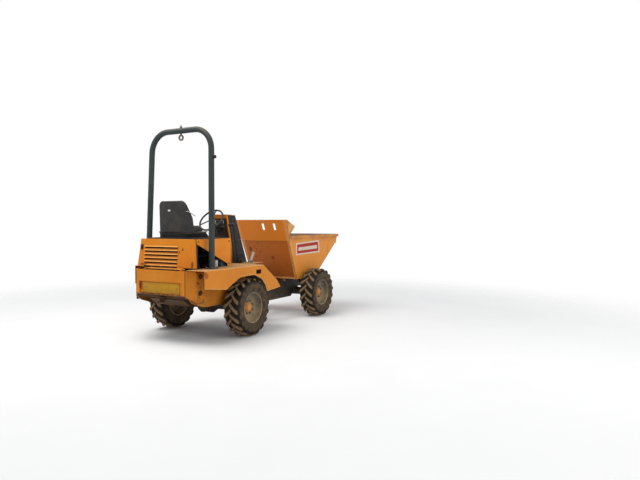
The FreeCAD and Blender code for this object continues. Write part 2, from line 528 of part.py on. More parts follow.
# Front chassis: rails, cross plate with the roll bearing, ram pin, skip hinge pin, stops
RAIL_X = (238.0, 250.0)
RAIL_TOP = 575.0
TIP = (WHEELBASE + 170.0, 540.0)
TIP_PIN_R = 20.0
TIP_EAR_X = (256.0, 270.0)
RAM_FOOT = (PIVOT_Y + 190.0, 360.0)
RAM_PIN_R = 20.0
SKIP_FLOOR = 600.0
RAIL_Y = (PIVOT_Y + 130.0, TIP[0] + 70.0)
RAIL_LOW = (300.0, 445.0)
rail = prism_x([(RAIL_Y[0], RAIL_TOP), (RAIL_Y[0], RAIL_LOW[0]), (WHEELBASE - 150, RAIL_LOW[0]),
                (WHEELBASE - 85, RAIL_LOW[0] + 55), (WHEELBASE - 85, RAIL_LOW[1]), (RAIL_Y[1], RAIL_LOW[1]),
                (RAIL_Y[1], TIP[1] - 5), (TIP[0] + 25, TIP[1] + 20), (TIP[0] - 40, RAIL_TOP)], *RAIL_X)
chassis = both(rail)
span = (-RAIL_X[0], RAIL_X[0])
chassis.append(box(span, (RAIL_Y[0], RAIL_Y[0] + PLATE), (RAIL_LOW[0], RAIL_TOP)))
chassis.append(box(span, (RAIL_Y[1] - PLATE, RAIL_Y[1]), (RAIL_LOW[1], RAIL_LOW[1] + 55)))
chassis.append(rod((0, BEARING_Y[0], PIVOT_Z), (0, BEARING_Y[1], PIVOT_Z), 70.0))
chassis.append(rod((-RAIL_X[0], *RAM_FOOT), (RAIL_X[0], *RAM_FOOT), RAM_PIN_R))
chassis.append(rod((-TIP_EAR_X[1] - 6, *TIP), (TIP_EAR_X[1] + 6, *TIP), TIP_PIN_R))
rest = box((RAIL_X[0] - 30, RAIL_X[1]), (WHEELBASE - 230, WHEELBASE - 170), (RAIL_TOP, SKIP_FLOOR - GAP))
chassis += both(rest)
front_saddle = box((RAIL_X[0] - 20, RAIL_X[1] + 10), (WHEELBASE - TUBE_R, WHEELBASE + TUBE_R),
                   (AXLE_Z + 20, 460.0)).cut(front_axle)
chassis += both(front_saddle)
bearing_hole = rod((0, BEARING_Y[0] - 30, PIVOT_Z), (0, BEARING_Y[1] + 40, PIVOT_Z), SHAFT_R + FIT)
save("front_chassis", fuse(chassis).cut(bearing_hole))

# Skip: open bucket of flat plates, raised spill guard at the back, hinge and ram ears
SKIP_SHEET = 6.0
SIDE_FOOT = (440.0, WHEELBASE - 265.0, SKIP_FLOOR)
FLARE_Y = 0.150
FLARE_Z = 0.095
BACK_SLOPE = 0.4325
SIDE_TOP = (1300.0, 1316.0)
GUARD_TOP = 1555.0
GUARD_FOLD = 1220.0
GUARD_HALF = 520.0
LIP_LOW = (WHEELBASE + 680.0, 1150.0)
LIP_HALF = 630.0
RIM_BAND = (45.0, 12.0)
FLOOR_END = TIP[0] + 10.0
RAM_EYE = (WHEELBASE - 50.0, 545.0)


def side_x(y, z):
    return SIDE_FOOT[0] + FLARE_Y * (y - SIDE_FOOT[1]) + FLARE_Z * (z - SIDE_FOOT[2])


def back_y(z):
    return SIDE_FOOT[1] - BACK_SLOPE * (z - SKIP_FLOOR)


bucket_line = [(back_y(SKIP_FLOOR), SKIP_FLOOR), (FLOOR_END, SKIP_FLOOR), LIP_LOW, (FRONT_END, SIDE_TOP[1]),
               (back_y(SIDE_TOP[0]), SIDE_TOP[0])]
right = [V(side_x(y, z), y, z) for y, z in bucket_line]
left = [V(-p.x, p.y, p.z) for p in right]
walls = [face(right), face(left)]
for i in range(len(right)):
    j = (i + 1) % len(right)
    walls.append(face([right[i], right[j], left[j], left[i]]))
bucket = Part.makeSolid(Part.makeShell(walls))
top_face = max(bucket.Faces, key=lambda f: f.CenterOfMass.z)
bucket = bucket.makeThickness([top_face], -SKIP_SHEET, 0.001)

lip = prism_x([(LIP_LOW[0] - 5, LIP_LOW[1]), (FRONT_END - 24, LIP_LOW[1]), (FRONT_END, LIP_LOW[1] + 45),
               (FRONT_END, SIDE_TOP[1]), (FRONT_END - SKIP_SHEET, SIDE_TOP[1])], -LIP_HALF, LIP_HALF)
band_start = back_y(SIDE_TOP[0]) + 30
band_line = [(band_start, SIDE_TOP[0]), (FRONT_END, SIDE_TOP[1]), (FRONT_END, SIDE_TOP[1] - RIM_BAND[0]),
             (band_start, SIDE_TOP[0] - RIM_BAND[0])]
outward = V(1.0, -FLARE_Y, -FLARE_Z).normalize() * RIM_BAND[1]
band = face([V(side_x(y, z), y, z) for y, z in band_line]).extrude(outward)

guard_half = [(side_x(back_y(GUARD_FOLD), GUARD_FOLD), GUARD_FOLD), (GUARD_HALF, GUARD_TOP)]
guard_corners = [V(x, back_y(z), z) for x, z in guard_half]
guard_corners += [V(-p.x, p.y, p.z) for p in guard_corners[::-1]]
guard = face(guard_corners).extrude(V(0, -SKIP_SHEET, 0))
slot_y = (back_y(GUARD_TOP) - 60, back_y(GUARD_TOP) + 140)
guard_slots = [box((x, x + 42.0), slot_y, (GUARD_TOP - 160, GUARD_TOP - 60)) for x in (16.0, 227.0)]
guard = cut(guard, guard_slots)
CHEEK_LOW = SIDE_TOP[0] - 10.0
cheek_foot = side_x(back_y(CHEEK_LOW), CHEEK_LOW) - SKIP_SHEET
cheek_line = [(back_y(GUARD_TOP) - 2, GUARD_TOP), (WHEELBASE - 420, GUARD_TOP - 100),
              (WHEELBASE - 510, CHEEK_LOW + 51), (WHEELBASE - 540, CHEEK_LOW),
              (back_y(CHEEK_LOW) - 2, CHEEK_LOW)]
cheek = prism_x(cheek_line, 0.0, SKIP_SHEET)
cheek_tilt = math.degrees(math.atan2(GUARD_HALF - SKIP_SHEET - cheek_foot, GUARD_TOP - CHEEK_LOW))
cheek.translate(V(cheek_foot, 0, 0))
cheek.rotate(V(cheek_foot, 0, CHEEK_LOW), V(0, 1, 0), cheek_tilt)
hinge_ear = fuse([prism_x([(TIP[0] - 80, SKIP_FLOOR + 3), (TIP[0] + 50, SKIP_FLOOR + 3),
                           (TIP[0] + 38, TIP[1]), (TIP[0] - 38, TIP[1])], *TIP_EAR_X),
                  rod((TIP_EAR_X[0], *TIP), (TIP_EAR_X[1], *TIP), 40.0)])
hinge_ear = hinge_ear.cut(rod((200.0, *TIP), (300.0, *TIP), TIP_PIN_R + FIT))
ram_ear = fuse([prism_x([(RAM_EYE[0] - 80, SKIP_FLOOR + 3), (RAM_EYE[0] + 50, SKIP_FLOOR + 3),
                         (RAM_EYE[0] + 33, RAM_EYE[1]),
                         (RAM_EYE[0] - 33, RAM_EYE[1])], 22.0, 34.0),
                rod((22.0, *RAM_EYE), (34.0, *RAM_EYE), 34.0)])
ram_boss = rod((34.0, *RAM_EYE), (44.0, *RAM_EYE), 16.0)
skip = fuse([bucket, guard, lip] + both(band) + both(cheek) + both(hinge_ear) + both(ram_ear)
            + both(ram_boss))
save("skip", skip)

# Tipping ram: barrel on the chassis pin, rod with its eye between the ears of the skip
ram_line = V(0, RAM_EYE[0] - RAM_FOOT[0], RAM_EYE[1] - RAM_FOOT[1])
RAM_LONG = ram_line.Length
ram_dir = ram_line.normalize()


def along(foot, direction, distance):
    return tuple(V(*foot) + direction * distance)


foot = (0.0, *RAM_FOOT)
BARREL_END = RAM_LONG - 300.0
PISTON = BARREL_END - 275.0


def ram_part(low, high, radius):
    """Round length of the tipping ram between two distances from its foot pin."""
    return rod(along(foot, ram_dir, low), along(foot, ram_dir, high), radius)


barrel = fuse([rod((-25.0, *RAM_FOOT), (25.0, *RAM_FOOT), 36.0), ram_part(25.0, BARREL_END, 36.0),
               ram_part(BARREL_END - 25, BARREL_END, 41.0)])
barrel = cut(barrel, [rod((-30.0, *RAM_FOOT), (30.0, *RAM_FOOT), RAM_PIN_R + FIT),
                      ram_part(60.0, BARREL_END - 32, 30.0),
                      ram_part(BARREL_END - 60, BARREL_END + 10, 20.0 + FIT)])
save("tip_ram_barrel", barrel)
ram_rod = fuse([ram_part(PISTON, PISTON + 20, 29.5), ram_part(PISTON + 15, RAM_LONG - 20, 20.0),
                rod((-17.0, *RAM_EYE), (17.0, *RAM_EYE), 33.0)])
save("tip_ram_rod", ram_rod.cut(rod((-30.0, *RAM_EYE), (30.0, *RAM_EYE), 16.0)))

# Steering ram between the rear frame and the yoke
steer_foot = (STEER_X, STEER_Y, PIVOT_Z)
steer_end = (*STEER_EYE, PIVOT_Z)
steer_dir = (V(*steer_end) - V(*steer_foot)).normalize()
STEER_LONG = math.dist(steer_foot, steer_end)
STEER_BARREL = STEER_LONG - 140.0
STEER_PISTON = STEER_BARREL / 2 + 5.0


def steer_part(low, high, radius):
    """Round length of the steering ram between two distances from its foot pin."""
    return rod(along(steer_foot, steer_dir, low), along(steer_foot, steer_dir, high), radius)


def upright(at, half, radius):
    """Round upright length at the height of the pivot, such as an eye or its hole."""
    return rod((*at, PIVOT_Z - half), (*at, PIVOT_Z + half), radius)


steer_barrel = fuse([upright((STEER_X, STEER_Y), EYE_HALF, 21.0), steer_part(15.0, 34.0, 14.0),
                     steer_part(30.0, STEER_BARREL, 22.0)])
steer_barrel = cut(steer_barrel, [upright((STEER_X, STEER_Y), 20.0, STEER_PIN_R + FIT),
                                  steer_part(42.0, STEER_BARREL - 22, 18.0),
                                  steer_part(STEER_BARREL - 50, STEER_BARREL + 10, 12.0 + FIT)])
save("steer_ram_barrel", steer_barrel)
steer_rod = fuse([steer_part(STEER_PISTON, STEER_PISTON + 15, 17.5),
                  steer_part(STEER_PISTON + 10, STEER_LONG - 15, 12.0), upright(STEER_EYE, EYE_HALF, 21.0)])
save("steer_ram_rod", steer_rod.cut(upright(STEER_EYE, 20.0, STEER_PIN_R)))
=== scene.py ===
# Articulated site dumper with a forward-tipping skip, standing on a pale studio floor.
# Metres, +X right, +Y forward, +Z up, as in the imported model.
import math

import bmesh
import bpy
from mathutils import Matrix, Vector, noise
from mathutils.bvhtree import BVHTree


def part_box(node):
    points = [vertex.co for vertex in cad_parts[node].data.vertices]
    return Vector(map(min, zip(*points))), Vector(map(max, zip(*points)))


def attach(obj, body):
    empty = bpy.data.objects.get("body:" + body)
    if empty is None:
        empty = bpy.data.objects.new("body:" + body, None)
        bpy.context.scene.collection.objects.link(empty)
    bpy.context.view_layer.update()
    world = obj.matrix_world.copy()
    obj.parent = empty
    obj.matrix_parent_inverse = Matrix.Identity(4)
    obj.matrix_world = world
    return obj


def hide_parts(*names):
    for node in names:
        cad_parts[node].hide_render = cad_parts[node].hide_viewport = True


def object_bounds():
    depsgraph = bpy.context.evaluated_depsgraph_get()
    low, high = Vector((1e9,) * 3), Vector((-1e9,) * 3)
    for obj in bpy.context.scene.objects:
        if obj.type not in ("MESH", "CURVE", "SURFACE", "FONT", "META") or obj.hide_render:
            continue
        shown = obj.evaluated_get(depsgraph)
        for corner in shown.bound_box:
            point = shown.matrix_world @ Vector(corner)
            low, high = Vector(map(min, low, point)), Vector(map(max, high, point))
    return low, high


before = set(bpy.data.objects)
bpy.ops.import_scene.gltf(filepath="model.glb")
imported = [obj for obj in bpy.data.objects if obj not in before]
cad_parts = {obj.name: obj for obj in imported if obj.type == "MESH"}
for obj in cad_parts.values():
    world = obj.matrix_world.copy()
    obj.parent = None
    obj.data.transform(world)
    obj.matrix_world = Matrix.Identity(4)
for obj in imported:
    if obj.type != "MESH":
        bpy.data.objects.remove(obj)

cad_box = [list(corner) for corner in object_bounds()]

# Tyres: cross-ply traction tyres of carbon-black rubber, press-moulded with chevron lugs.
# Each lug starts steep at the middle and runs flatter down the shoulder; its top is scuffed
# pale by the ground, and dried soil lies between the lugs and on the side walls.
corners = {name[5:]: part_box(name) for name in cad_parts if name.startswith("tyre_")}
LUGS = 18
TYRE_R = (corners["rear_right"][1].z - corners["rear_right"][0].z) / 2
REAR_AXLE_Y = (corners["rear_right"][0].y + corners["rear_right"][1].y) / 2
CARCASS = [(0.098, 0.196), (0.103, 0.203), (0.113, 0.213), (0.122, 0.240), (0.127, 0.272), (0.1265, 0.300),
           (0.121, 0.326), (0.106, 0.345), (0.072, 0.3515), (0.035, 0.3530), (0.0, 0.3535)]
BEAD = [(-0.085, 0.1955), (0.085, 0.1955)]
TURNS = 144
LUG_STEPS = 14
LUG_START, LUG_SHOULDER, LUG_END = -0.007, 0.078, 0.1255
SHOULDER_DROP = 0.036
LUG_HALF, LUG_EDGE, LUG_FOOT = 0.016, 0.004, 0.010
TREAD_R = 0.365


def linear(code):
    """sRGB hex colour as the linear RGBA that a shader takes."""
    parts = [int(code[i:i + 2], 16) / 255 for i in (1, 3, 5)]
    return [c / 12.92 if c <= 0.04045 else ((c + 0.055) / 1.055) ** 2.4 for c in parts] + [1.0]


def add(tree, kind, inputs=None, out=0, **settings):
    """Adds a shader node with its settings, links or sets its inputs, and gives one of its outputs."""
    node = tree.nodes.new("ShaderNode" + kind)
    for key, value in settings.items():
        setattr(node, key, value)
    for key, value in (inputs or {}).items():
        if isinstance(value, bpy.types.NodeSocket):
            tree.links.new(value, node.inputs[key])
        else:
            node.inputs[key].default_value = value
    return node.outputs[out] if node.outputs else node


def new_finish(name):
    """Empty material, its node tree, and the place of each point in the machine's own axes."""
    finish = bpy.data.materials.new(name)
    finish.use_nodes = True
    finish.node_tree.nodes.clear()
    return finish, finish.node_tree, add(finish.node_tree, "TexCoord", out="Object")


def surfaced(finish, looks):
    """Closes a finish with its surface shader, from its colour, gloss and relief."""
    tree = finish.node_tree
    add(tree, "OutputMaterial", {"Surface": add(tree, "BsdfPrincipled", looks)})
    return finish


def gather(parts):
    """Several small meshes as one."""
    verts, faces = [], []
    for part_verts, part_faces in parts:
        faces += [tuple(n + len(verts) for n in f) for f in part_faces]
        verts += part_verts
    return verts, faces


def make_piece(name, parts, finish, body="rear_chassis", crease=35.0):
    """Object gathered from small meshes, smooth up to the crease angle, riding on a body."""
    verts, faces = gather(parts)
    mesh = bpy.data.meshes.new(name)
    mesh.from_pydata([tuple(v) for v in verts], [], faces)
    clean = bmesh.new()
    clean.from_mesh(mesh)
    bmesh.ops.recalc_face_normals(clean, faces=clean.faces)
    clean.to_mesh(mesh)
    clean.free()
    mesh.materials.append(finish)
    mesh.shade_smooth()
    mesh.set_sharp_from_angle(angle=math.radians(crease))
    piece = bpy.data.objects.new(name, mesh)
    bpy.context.scene.collection.objects.link(piece)
    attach(piece, body)
    return piece


def turned(profile, at=(0, 0, 0), axis=(0, 0, 1), turns=32):
    """Body turned about an axis through a point, from (distance along, radius) points."""
    axis = Vector(axis).normalized()
    across = axis.orthogonal().normalized()
    other = axis.cross(across)
    verts, faces, rings = [], [], []
    for along, r in profile:
        count = 1 if r < 1e-6 else turns
        rings.append([len(verts) + i for i in range(count)])
        for i in range(count):
            a = 2 * math.pi * i / turns
            verts.append(Vector(at) + axis * along + (across * math.cos(a) + other * math.sin(a)) * r)
    pairs = list(zip(rings, rings[1:]))
    if len(rings[0]) > 1 and len(rings[-1]) > 1:
        pairs.append((rings[-1], rings[0]))
    for near, far in pairs:
        for i in range(turns):
            j = (i + 1) % turns
            ring = [near[i % len(near)], near[j % len(near)], far[j % len(far)], far[i % len(far)]]
            faces.append(tuple(dict.fromkeys(ring)))
    return verts, [f for f in faces if len(f) > 2]


def smooth_line(points, steps):
    """Points on the rounded line through the given ones."""
    points = [Vector(p) for p in points]
    line = []
    for i in range(len(points) - 1):
        p = [points[max(0, min(len(points) - 1, i + k))] for k in (-1, 0, 1, 2)]
        for s in range(steps):
            t = s / steps
            line.append(0.5 * ((2 * p[1]) + (p[2] - p[0]) * t + (2 * p[0] - 5 * p[1] + 4 * p[2] - p[3]) * t * t
                               + (3 * p[1] - p[0] - 3 * p[2] + p[3]) * t ** 3))
    return line + [points[-1]]


def carcass_radius(x):
    """Radius of the tyre's crown under a lug, at a distance from its middle plane."""
    for (x1, r1), (x2, r2) in zip(CARCASS[4:], CARCASS[5:]):
        if x2 <= x <= x1:
            return r2 + (r1 - r2) * (x - x2) / (x1 - x2)
    return CARCASS[4][1]


def lug(start, side):
    """One chevron arm from the middle of the tread to the shoulder."""
    verts, faces = [], []
    for i in range(LUG_STEPS + 1):
        x = LUG_START + (LUG_END - LUG_START) * i / LUG_STEPS
        lead = 1.12 * x - 2.6 * x * x
        top = TYRE_R - 0.0004
        if x > LUG_SHOULDER:
            top -= SHOULDER_DROP * ((x - LUG_SHOULDER) / (LUG_END - LUG_SHOULDER)) ** 2.4
        base = carcass_radius(abs(x)) - 0.004
        half = LUG_HALF + 0.055 * max(0, x)
        section = [(-half - LUG_FOOT, base), (-half, top - LUG_EDGE), (-half + LUG_EDGE, top), (half - LUG_EDGE, top),
                   (half, top - LUG_EDGE), (half + LUG_FOOT, base)]
        for along, r in section:
            a = start - (lead + along) / TREAD_R
            verts.append(Vector((side * x, r * math.sin(a), r * math.cos(a))))
    for i in range(LUG_STEPS):
        for j in range(5):
            faces.append((i * 6 + j, i * 6 + j + 1, i * 6 + j + 7, i * 6 + j + 6))
        faces.append((i * 6 + 5, i * 6, i * 6 + 6, i * 6 + 11))
    faces += [tuple(range(6)), tuple(range(LUG_STEPS * 6, LUG_STEPS * 6 + 6))]
    return verts, faces


def tyre_rubber():
    """Carbon-black rubber: near black, matt, under a coat of pale dried soil on what meets the ground."""
    finish, tree, place = new_finish("dusty tyre rubber")
    worn = add(tree, "Attribute", out="Fac", attribute_name="scuff")
    soil = add(tree, "TexNoise", {"Vector": place, "Scale": 1000 / 70, "Detail": 8, "Roughness": 0.7})
    # Soil grains of 1 mm are drawn at 6 mm, since finer ones would not show.
    grit = add(tree, "TexNoise", {"Vector": place, "Scale": 1000 / 6, "Detail": 4})
    cover = add(tree, "Math", {0: soil, 1: worn}, operation="ADD")
    cover = add(tree, "MapRange", {"Value": cover, "From Min": 0.45, "From Max": 1.30})
    cover = add(tree, "Math", {0: cover, 1: grit, 2: -0.12}, operation="MULTIPLY_ADD")
    cover = add(tree, "Math", {0: cover, 1: 1.5}, operation="MULTIPLY", use_clamp=True)
    shade = add(tree, "Mix", {0: cover, 6: linear("#1F1812"), 7: linear("#9A7F5E")}, 2, data_type="RGBA")
    rough = add(tree, "MapRange", {"Value": cover, "To Min": 0.62, "To Max": 0.95})
    bump = add(tree, "Bump", {"Height": grit, "Strength": 0.5, "Distance": 0.0015})
    return surfaced(finish, {"Base Color": shade, "Roughness": rough, "Normal": bump, "IOR": 1.52,
                             "Specular IOR Level": 0.15})


rubber = tyre_rubber()
half_line = smooth_line([(x, r, 0) for x, r in CARCASS], 4)
outline = [(p.x, p.y) for p in half_line] + [(-p.x, p.y) for p in half_line[-2::-1]] + BEAD
verts, faces = gather([turned(outline, axis=(1, 0, 0), turns=TURNS)] +
                      [lug((i + (0.5 if side < 0 else 0)) * 2 * math.pi / LUGS, side)
                       for side in (1, -1) for i in range(LUGS)])
for corner, (low, high) in corners.items():
    centre = (low + high) / 2
    tyre = make_piece("tyre_piece_" + corner, [([v + centre for v in verts], faces)], rubber,
                      "wheel_" + corner, 40.0)
    scuff = tyre.data.attributes.new("scuff", "FLOAT", "POINT")
    for i, v in enumerate(verts):
        reach = math.hypot(v.y, v.z)
        scuff.data[i].value = max(0.0, min(1.0, (reach - 0.352) / 0.022)) + (0.35 if reach < 0.33 else 0.0)
    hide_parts("tyre_" + corner)

# Rims: one-piece pressed steel dishes, sprayed dark grey and stoved, with a rolled flange at
# each edge. Each is held on its hub by eight hexagon nuts on studs, and has a rubber valve.
RIM = [(-0.108, 0.190), (-0.1095, 0.205), (-0.107, 0.2085), (-0.103, 0.206), (-0.0985, 0.196),
       (-0.080, 0.1935), (0.080, 0.1935), (0.0985, 0.196), (0.103, 0.206), (0.107, 0.2085), (0.1095, 0.205),
       (0.108, 0.190), (0.092, 0.187), (0.062, 0.184), (0.040, 0.179), (0.025, 0.168), (0.020, 0.155),
       (0.020, 0.071), (0.012, 0.071), (0.012, 0.155), (0.004, 0.170), (-0.030, 0.184), (-0.092, 0.187)]
VALVE = [(0, 0), (0, 0.006), (0.012, 0.0055), (0.016, 0.004), (0.034, 0.004), (0.034, 0)]
DISC_X = 0.020
NUTS = 8
NUT_RING = 0.084


def where(tree, *masks):
    """Product of masks; one given as (value, off, on) or (value, off, on, most) is a ramp from 0 to most."""
    product = None
    for mask in masks:
        if isinstance(mask, tuple):
            value, off, on, most = (*mask, 1.0)[:4]
            mask = add(tree, "MapRange", {"Value": value, "From Min": off, "From Max": on, "To Max": most})
        product = mask if product is None else add(tree, "Math", {0: product, 1: mask}, operation="MULTIPLY")
    return product


def painted(name, coat, faded, under, gloss=0.42, dust=0.35, rust=0.3, chips=0.6, mud=(0.30, 0.75),
            soil="#7D6443"):
    """Sprayed paint on steel: it fades in patches, chips along edges, and carries dust and splashed mud."""
    finish, tree, place = new_finish(name)
    facing = add(tree, "NewGeometry", out="Normal")
    rounded = add(tree, "Bevel", {"Radius": 0.0016}, samples=4)
    wide = add(tree, "Bevel", {"Radius": 0.006}, samples=6)
    patch = add(tree, "TexNoise", {"Vector": place, "Scale": 1000 / 420, "Detail": 7, "Roughness": 0.6})
    speck = add(tree, "TexNoise", {"Vector": place, "Scale": 1000 / 24, "Detail": 6, "Roughness": 0.65})
    blot = add(tree, "TexNoise", {"Vector": place, "Scale": 1000 / 110, "Detail": 9, "Roughness": 0.68})
    long_way = add(tree, "Mapping", {"Vector": place, "Scale": (1.0, 1.0, 0.09)})
    runs = add(tree, "TexNoise", {"Vector": long_way, "Scale": 1000 / 38, "Detail": 5})
    shade = add(tree, "Mix", {0: where(tree, (patch, 0.35, 0.68)), 6: linear(coat), 7: linear(faded)}, 2,
                data_type="RGBA")
    bend = add(tree, "VectorMath", {0: wide, 1: facing}, "Value", operation="DOT_PRODUCT")
    chip = where(tree, (where(tree, (bend, 0.985, 0.86), speck), 0.52 - 0.12 * chips, 0.60 - 0.12 * chips, chips))
    spot = where(tree, (blot, 0.72 - 0.16 * rust, 0.80 - 0.12 * rust, 0.9))
    worn = add(tree, "Math", {0: chip, 1: spot}, operation="MAXIMUM")
    worn = add(tree, "Math", {0: worn, 1: where(tree, (runs, 0.60, 0.85, 0.45 * rust))}, operation="MAXIMUM")
    shade = add(tree, "Mix", {0: worn, 6: shade, 7: linear(under)}, 2, data_type="RGBA")
    up = add(tree, "SeparateXYZ", {0: add(tree, "TexCoord", out="Normal")}, "Z")
    lying = add(tree, "MapRange", {"Value": up, "From Min": 0.2, "From Max": 0.95, "To Min": 0.06})
    high = add(tree, "SeparateXYZ", {0: place}, "Z")
    splash = where(tree, (where(tree, (high, mud[1], mud[0]), blot), 0.20, 0.62, 0.9))
    cover = add(tree, "Math", {0: where(tree, lying, blot, 2.0 * dust), 1: splash}, operation="MAXIMUM",
                use_clamp=True)
    shade = add(tree, "Mix", {0: cover, 6: shade, 7: linear(soil)}, 2, data_type="RGBA")
    dull = add(tree, "Math", {0: cover, 1: worn}, operation="MAXIMUM")
    rough = add(tree, "MapRange", {"Value": dull, "To Min": gloss, "To Max": 0.88})
    # The orange peel of sprayed paint, 2 mm across, is drawn at 9 mm, since finer would not show.
    peel = add(tree, "TexNoise", {"Vector": place, "Scale": 1000 / 9, "Detail": 3})
    relief = add(tree, "Math", {0: dull, 1: 0.6, 2: peel}, operation="MULTIPLY_ADD")
    bump = add(tree, "Bump", {"Height": relief, "Strength": 0.25, "Distance": 0.0008, "Normal": rounded})
    return surfaced(finish, {"Base Color": shade, "Roughness": rough, "Normal": bump, "IOR": 1.48,
                             "Specular IOR Level": 0.22})


def surface_of(finish):
    """Node tree of a finish and its surface shader."""
    tree = finish.node_tree
    return tree, next(node for node in tree.nodes if node.type == "BSDF_PRINCIPLED")


def finish_nodes(finish, *names):
    """Gives CAD nodes their finish."""
    for name in names:
        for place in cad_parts[name].material_slots:
            place.material = finish


def hex_head(at, axis, across=0.019, tall=0.011, turn=0.0):
    """Chamfered hexagon head on its washer, standing on a face at a point."""
    axis = Vector(axis).normalized()
    side_on = axis.to_track_quat("Z", "Y").to_matrix() @ Matrix.Rotation(turn, 3, "Z")
    verts, faces, starts = [], [], []
    rings = [(0.95, -0.0005, 24), (0.95, 0.002, 24), (0.58, 0.002, 6), (0.58, tall - 0.0015, 6), (0.50, tall, 6)]
    for size, z, count in rings:
        starts.append(len(verts))
        for i in range(count):
            a = 2 * math.pi * i / count
            verts.append(side_on @ Vector((size * across * math.cos(a), size * across * math.sin(a), z)) + Vector(at))
    for low, count in ((starts[0], 24), (starts[2], 6), (starts[3], 6)):
        for i in range(count):
            n = (i + 1) % count
            faces.append((low + i, low + n, low + count + n, low + count + i))
    for low, count in ((starts[0], 24), (starts[1], 24), (starts[2], 6), (starts[4], 6)):
        faces.append(tuple(range(low, low + count)))
    return verts, faces


# Stoved paint keeps its half gloss and dark grey under a thick coat of pale soil.
grey_rim = painted("stoved grey rim paint", "#3F454A", "#515652", "#3A2A20", gloss=0.5, dust=0.5, rust=0.35,
                   mud=(0.30, 1.00), soil="#A58C68")
# Brushed-on orange, dull and browned by soil that the hub throws about.
orange_hub = painted("orange hub paint", "#CC7E2C", "#D2903C", "#5A3A1C", gloss=0.5, dust=0.55, rust=0.5,
                     mud=(0.10, 0.95), soil="#8C7250")
# Zinc plate gone grey and matt, so that bolts read as duller and paler than the paint round them.
dull_steel = painted("dull zinc-plated steel", "#5F5A52", "#6E685E", "#4A3020", gloss=0.5, dust=0.4, rust=0.5)
for corner, (low, high) in corners.items():
    centre = (low + high) / 2
    side = 1 if centre.x > 0 else -1
    wheel, out = "wheel_" + corner, (side, 0, 0)
    rim = make_piece("rim_piece_" + corner, [turned(RIM, centre, out, 96)], grey_rim, wheel)
    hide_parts("rim_" + corner)
    finish_nodes(orange_hub, "hub_" + corner)
    fittings = [turned(VALVE, centre + Vector((side * (DISC_X + 0.002), 0, 0.160)), (side, 0, 0.35), 12)]
    for i in range(NUTS):
        a = 2 * math.pi * (i + 0.5) / NUTS
        nut_at = centre + Vector((side * DISC_X, NUT_RING * math.sin(a), NUT_RING * math.cos(a)))
        fittings.append(hex_head(nut_at, out, 0.024, 0.014, a))
        fittings.append(hex_head(nut_at + Vector((side * 0.012, 0, 0)), out, 0.010, 0.008, a))
    make_piece("wheel_nuts_" + corner, fittings, dull_steel, wheel)

# Axles, pivot and front chassis: iron castings and welded plate under black machine paint, oily
# where things turn and caked with dried soil below. Bolted covers close the drive heads.
HEAD_BOLTS = 10
HEAD_COVER = [(-0.012, 0.0), (-0.012, 0.090), (0.0, 0.100), (0.010, 0.100), (0.010, 0.084), (0.026, 0.066),
              (0.032, 0.030), (0.032, 0.0)]
HEAD_PLUG = [(0, 0), (0, 0.009), (0.010, 0.009), (0.010, 0.005), (0.018, 0.003), (0.018, 0)]
PIVOT_Z = 0.5325
RAIL_START, RAIL_FOOT, RAIL_TOP = 0.980, 0.300, 0.575
ROLL_BOLTS = 8
ROLL_RING = 0.058


def drawn_at(x, y, z):
    """Point whose distance along the machine is counted from the rear axle, as on its drawing."""
    return Vector((x, y + REAR_AXLE_Y, z))


def slab(low, high, edge=0.002):
    """Block with its edges taken off."""
    block = bmesh.new()
    bmesh.ops.create_cube(block, size=1.0)
    for v in block.verts:
        v.co = Vector([low[i] + (v.co[i] + 0.5) * (high[i] - low[i]) for i in range(3)])
    bmesh.ops.bevel(block, geom=block.edges[:], offset=edge, segments=2, affect="EDGES", profile=0.5)
    block.verts.index_update()
    shape = [v.co.copy() for v in block.verts], [tuple(v.index for v in f.verts) for f in block.faces]
    block.free()
    return shape


def tube(points, radius, sides=12, closed=False):
    """Round bar along a line of points; its radius may be a list, one for each point."""
    points = [Vector(p) for p in points]
    count = len(points)
    sizes = radius if isinstance(radius, list) else [radius] * count
    verts, faces, across = [], [], None
    for i, p in enumerate(points):
        last = i == count - 1 and not closed
        first = i == 0 and not closed
        ahead = ((p if last else points[(i + 1) % count]) - (p if first else points[i - 1])).normalized()
        across = ahead.orthogonal() if across is None else across - ahead * across.dot(ahead)
        across.normalize()
        up = ahead.cross(across)
        for k in range(sides):
            a = 2 * math.pi * k / sides
            verts.append(p + (across * math.cos(a) + up * math.sin(a)) * sizes[i])
    for i in range(count if closed else count - 1):
        j = (i + 1) % count
        for k in range(sides):
            n = (k + 1) % sides
            faces.append((i * sides + k, i * sides + n, j * sides + n, j * sides + k))
    if not closed:
        faces += [tuple(range(sides)), tuple(range((count - 1) * sides, count * sides))]
    return verts, faces


def weld(start, end, size=0.004):
    """Hand-laid weld bead between two points, with the ripples of its pool."""
    start, end = Vector(start), Vector(end)
    steps = max(6, int((end - start).length / 0.005))
    points, sizes = [], []
    for i in range(steps + 1):
        p = start.lerp(end, i / steps)
        points.append(p + noise.noise_vector(p * 60) * 0.0006)
        sizes.append(size * (0.85 + 0.15 * (i % 2)) * (0.35 if i in (0, steps) else 1.0))
    return tube(points, sizes, 8)


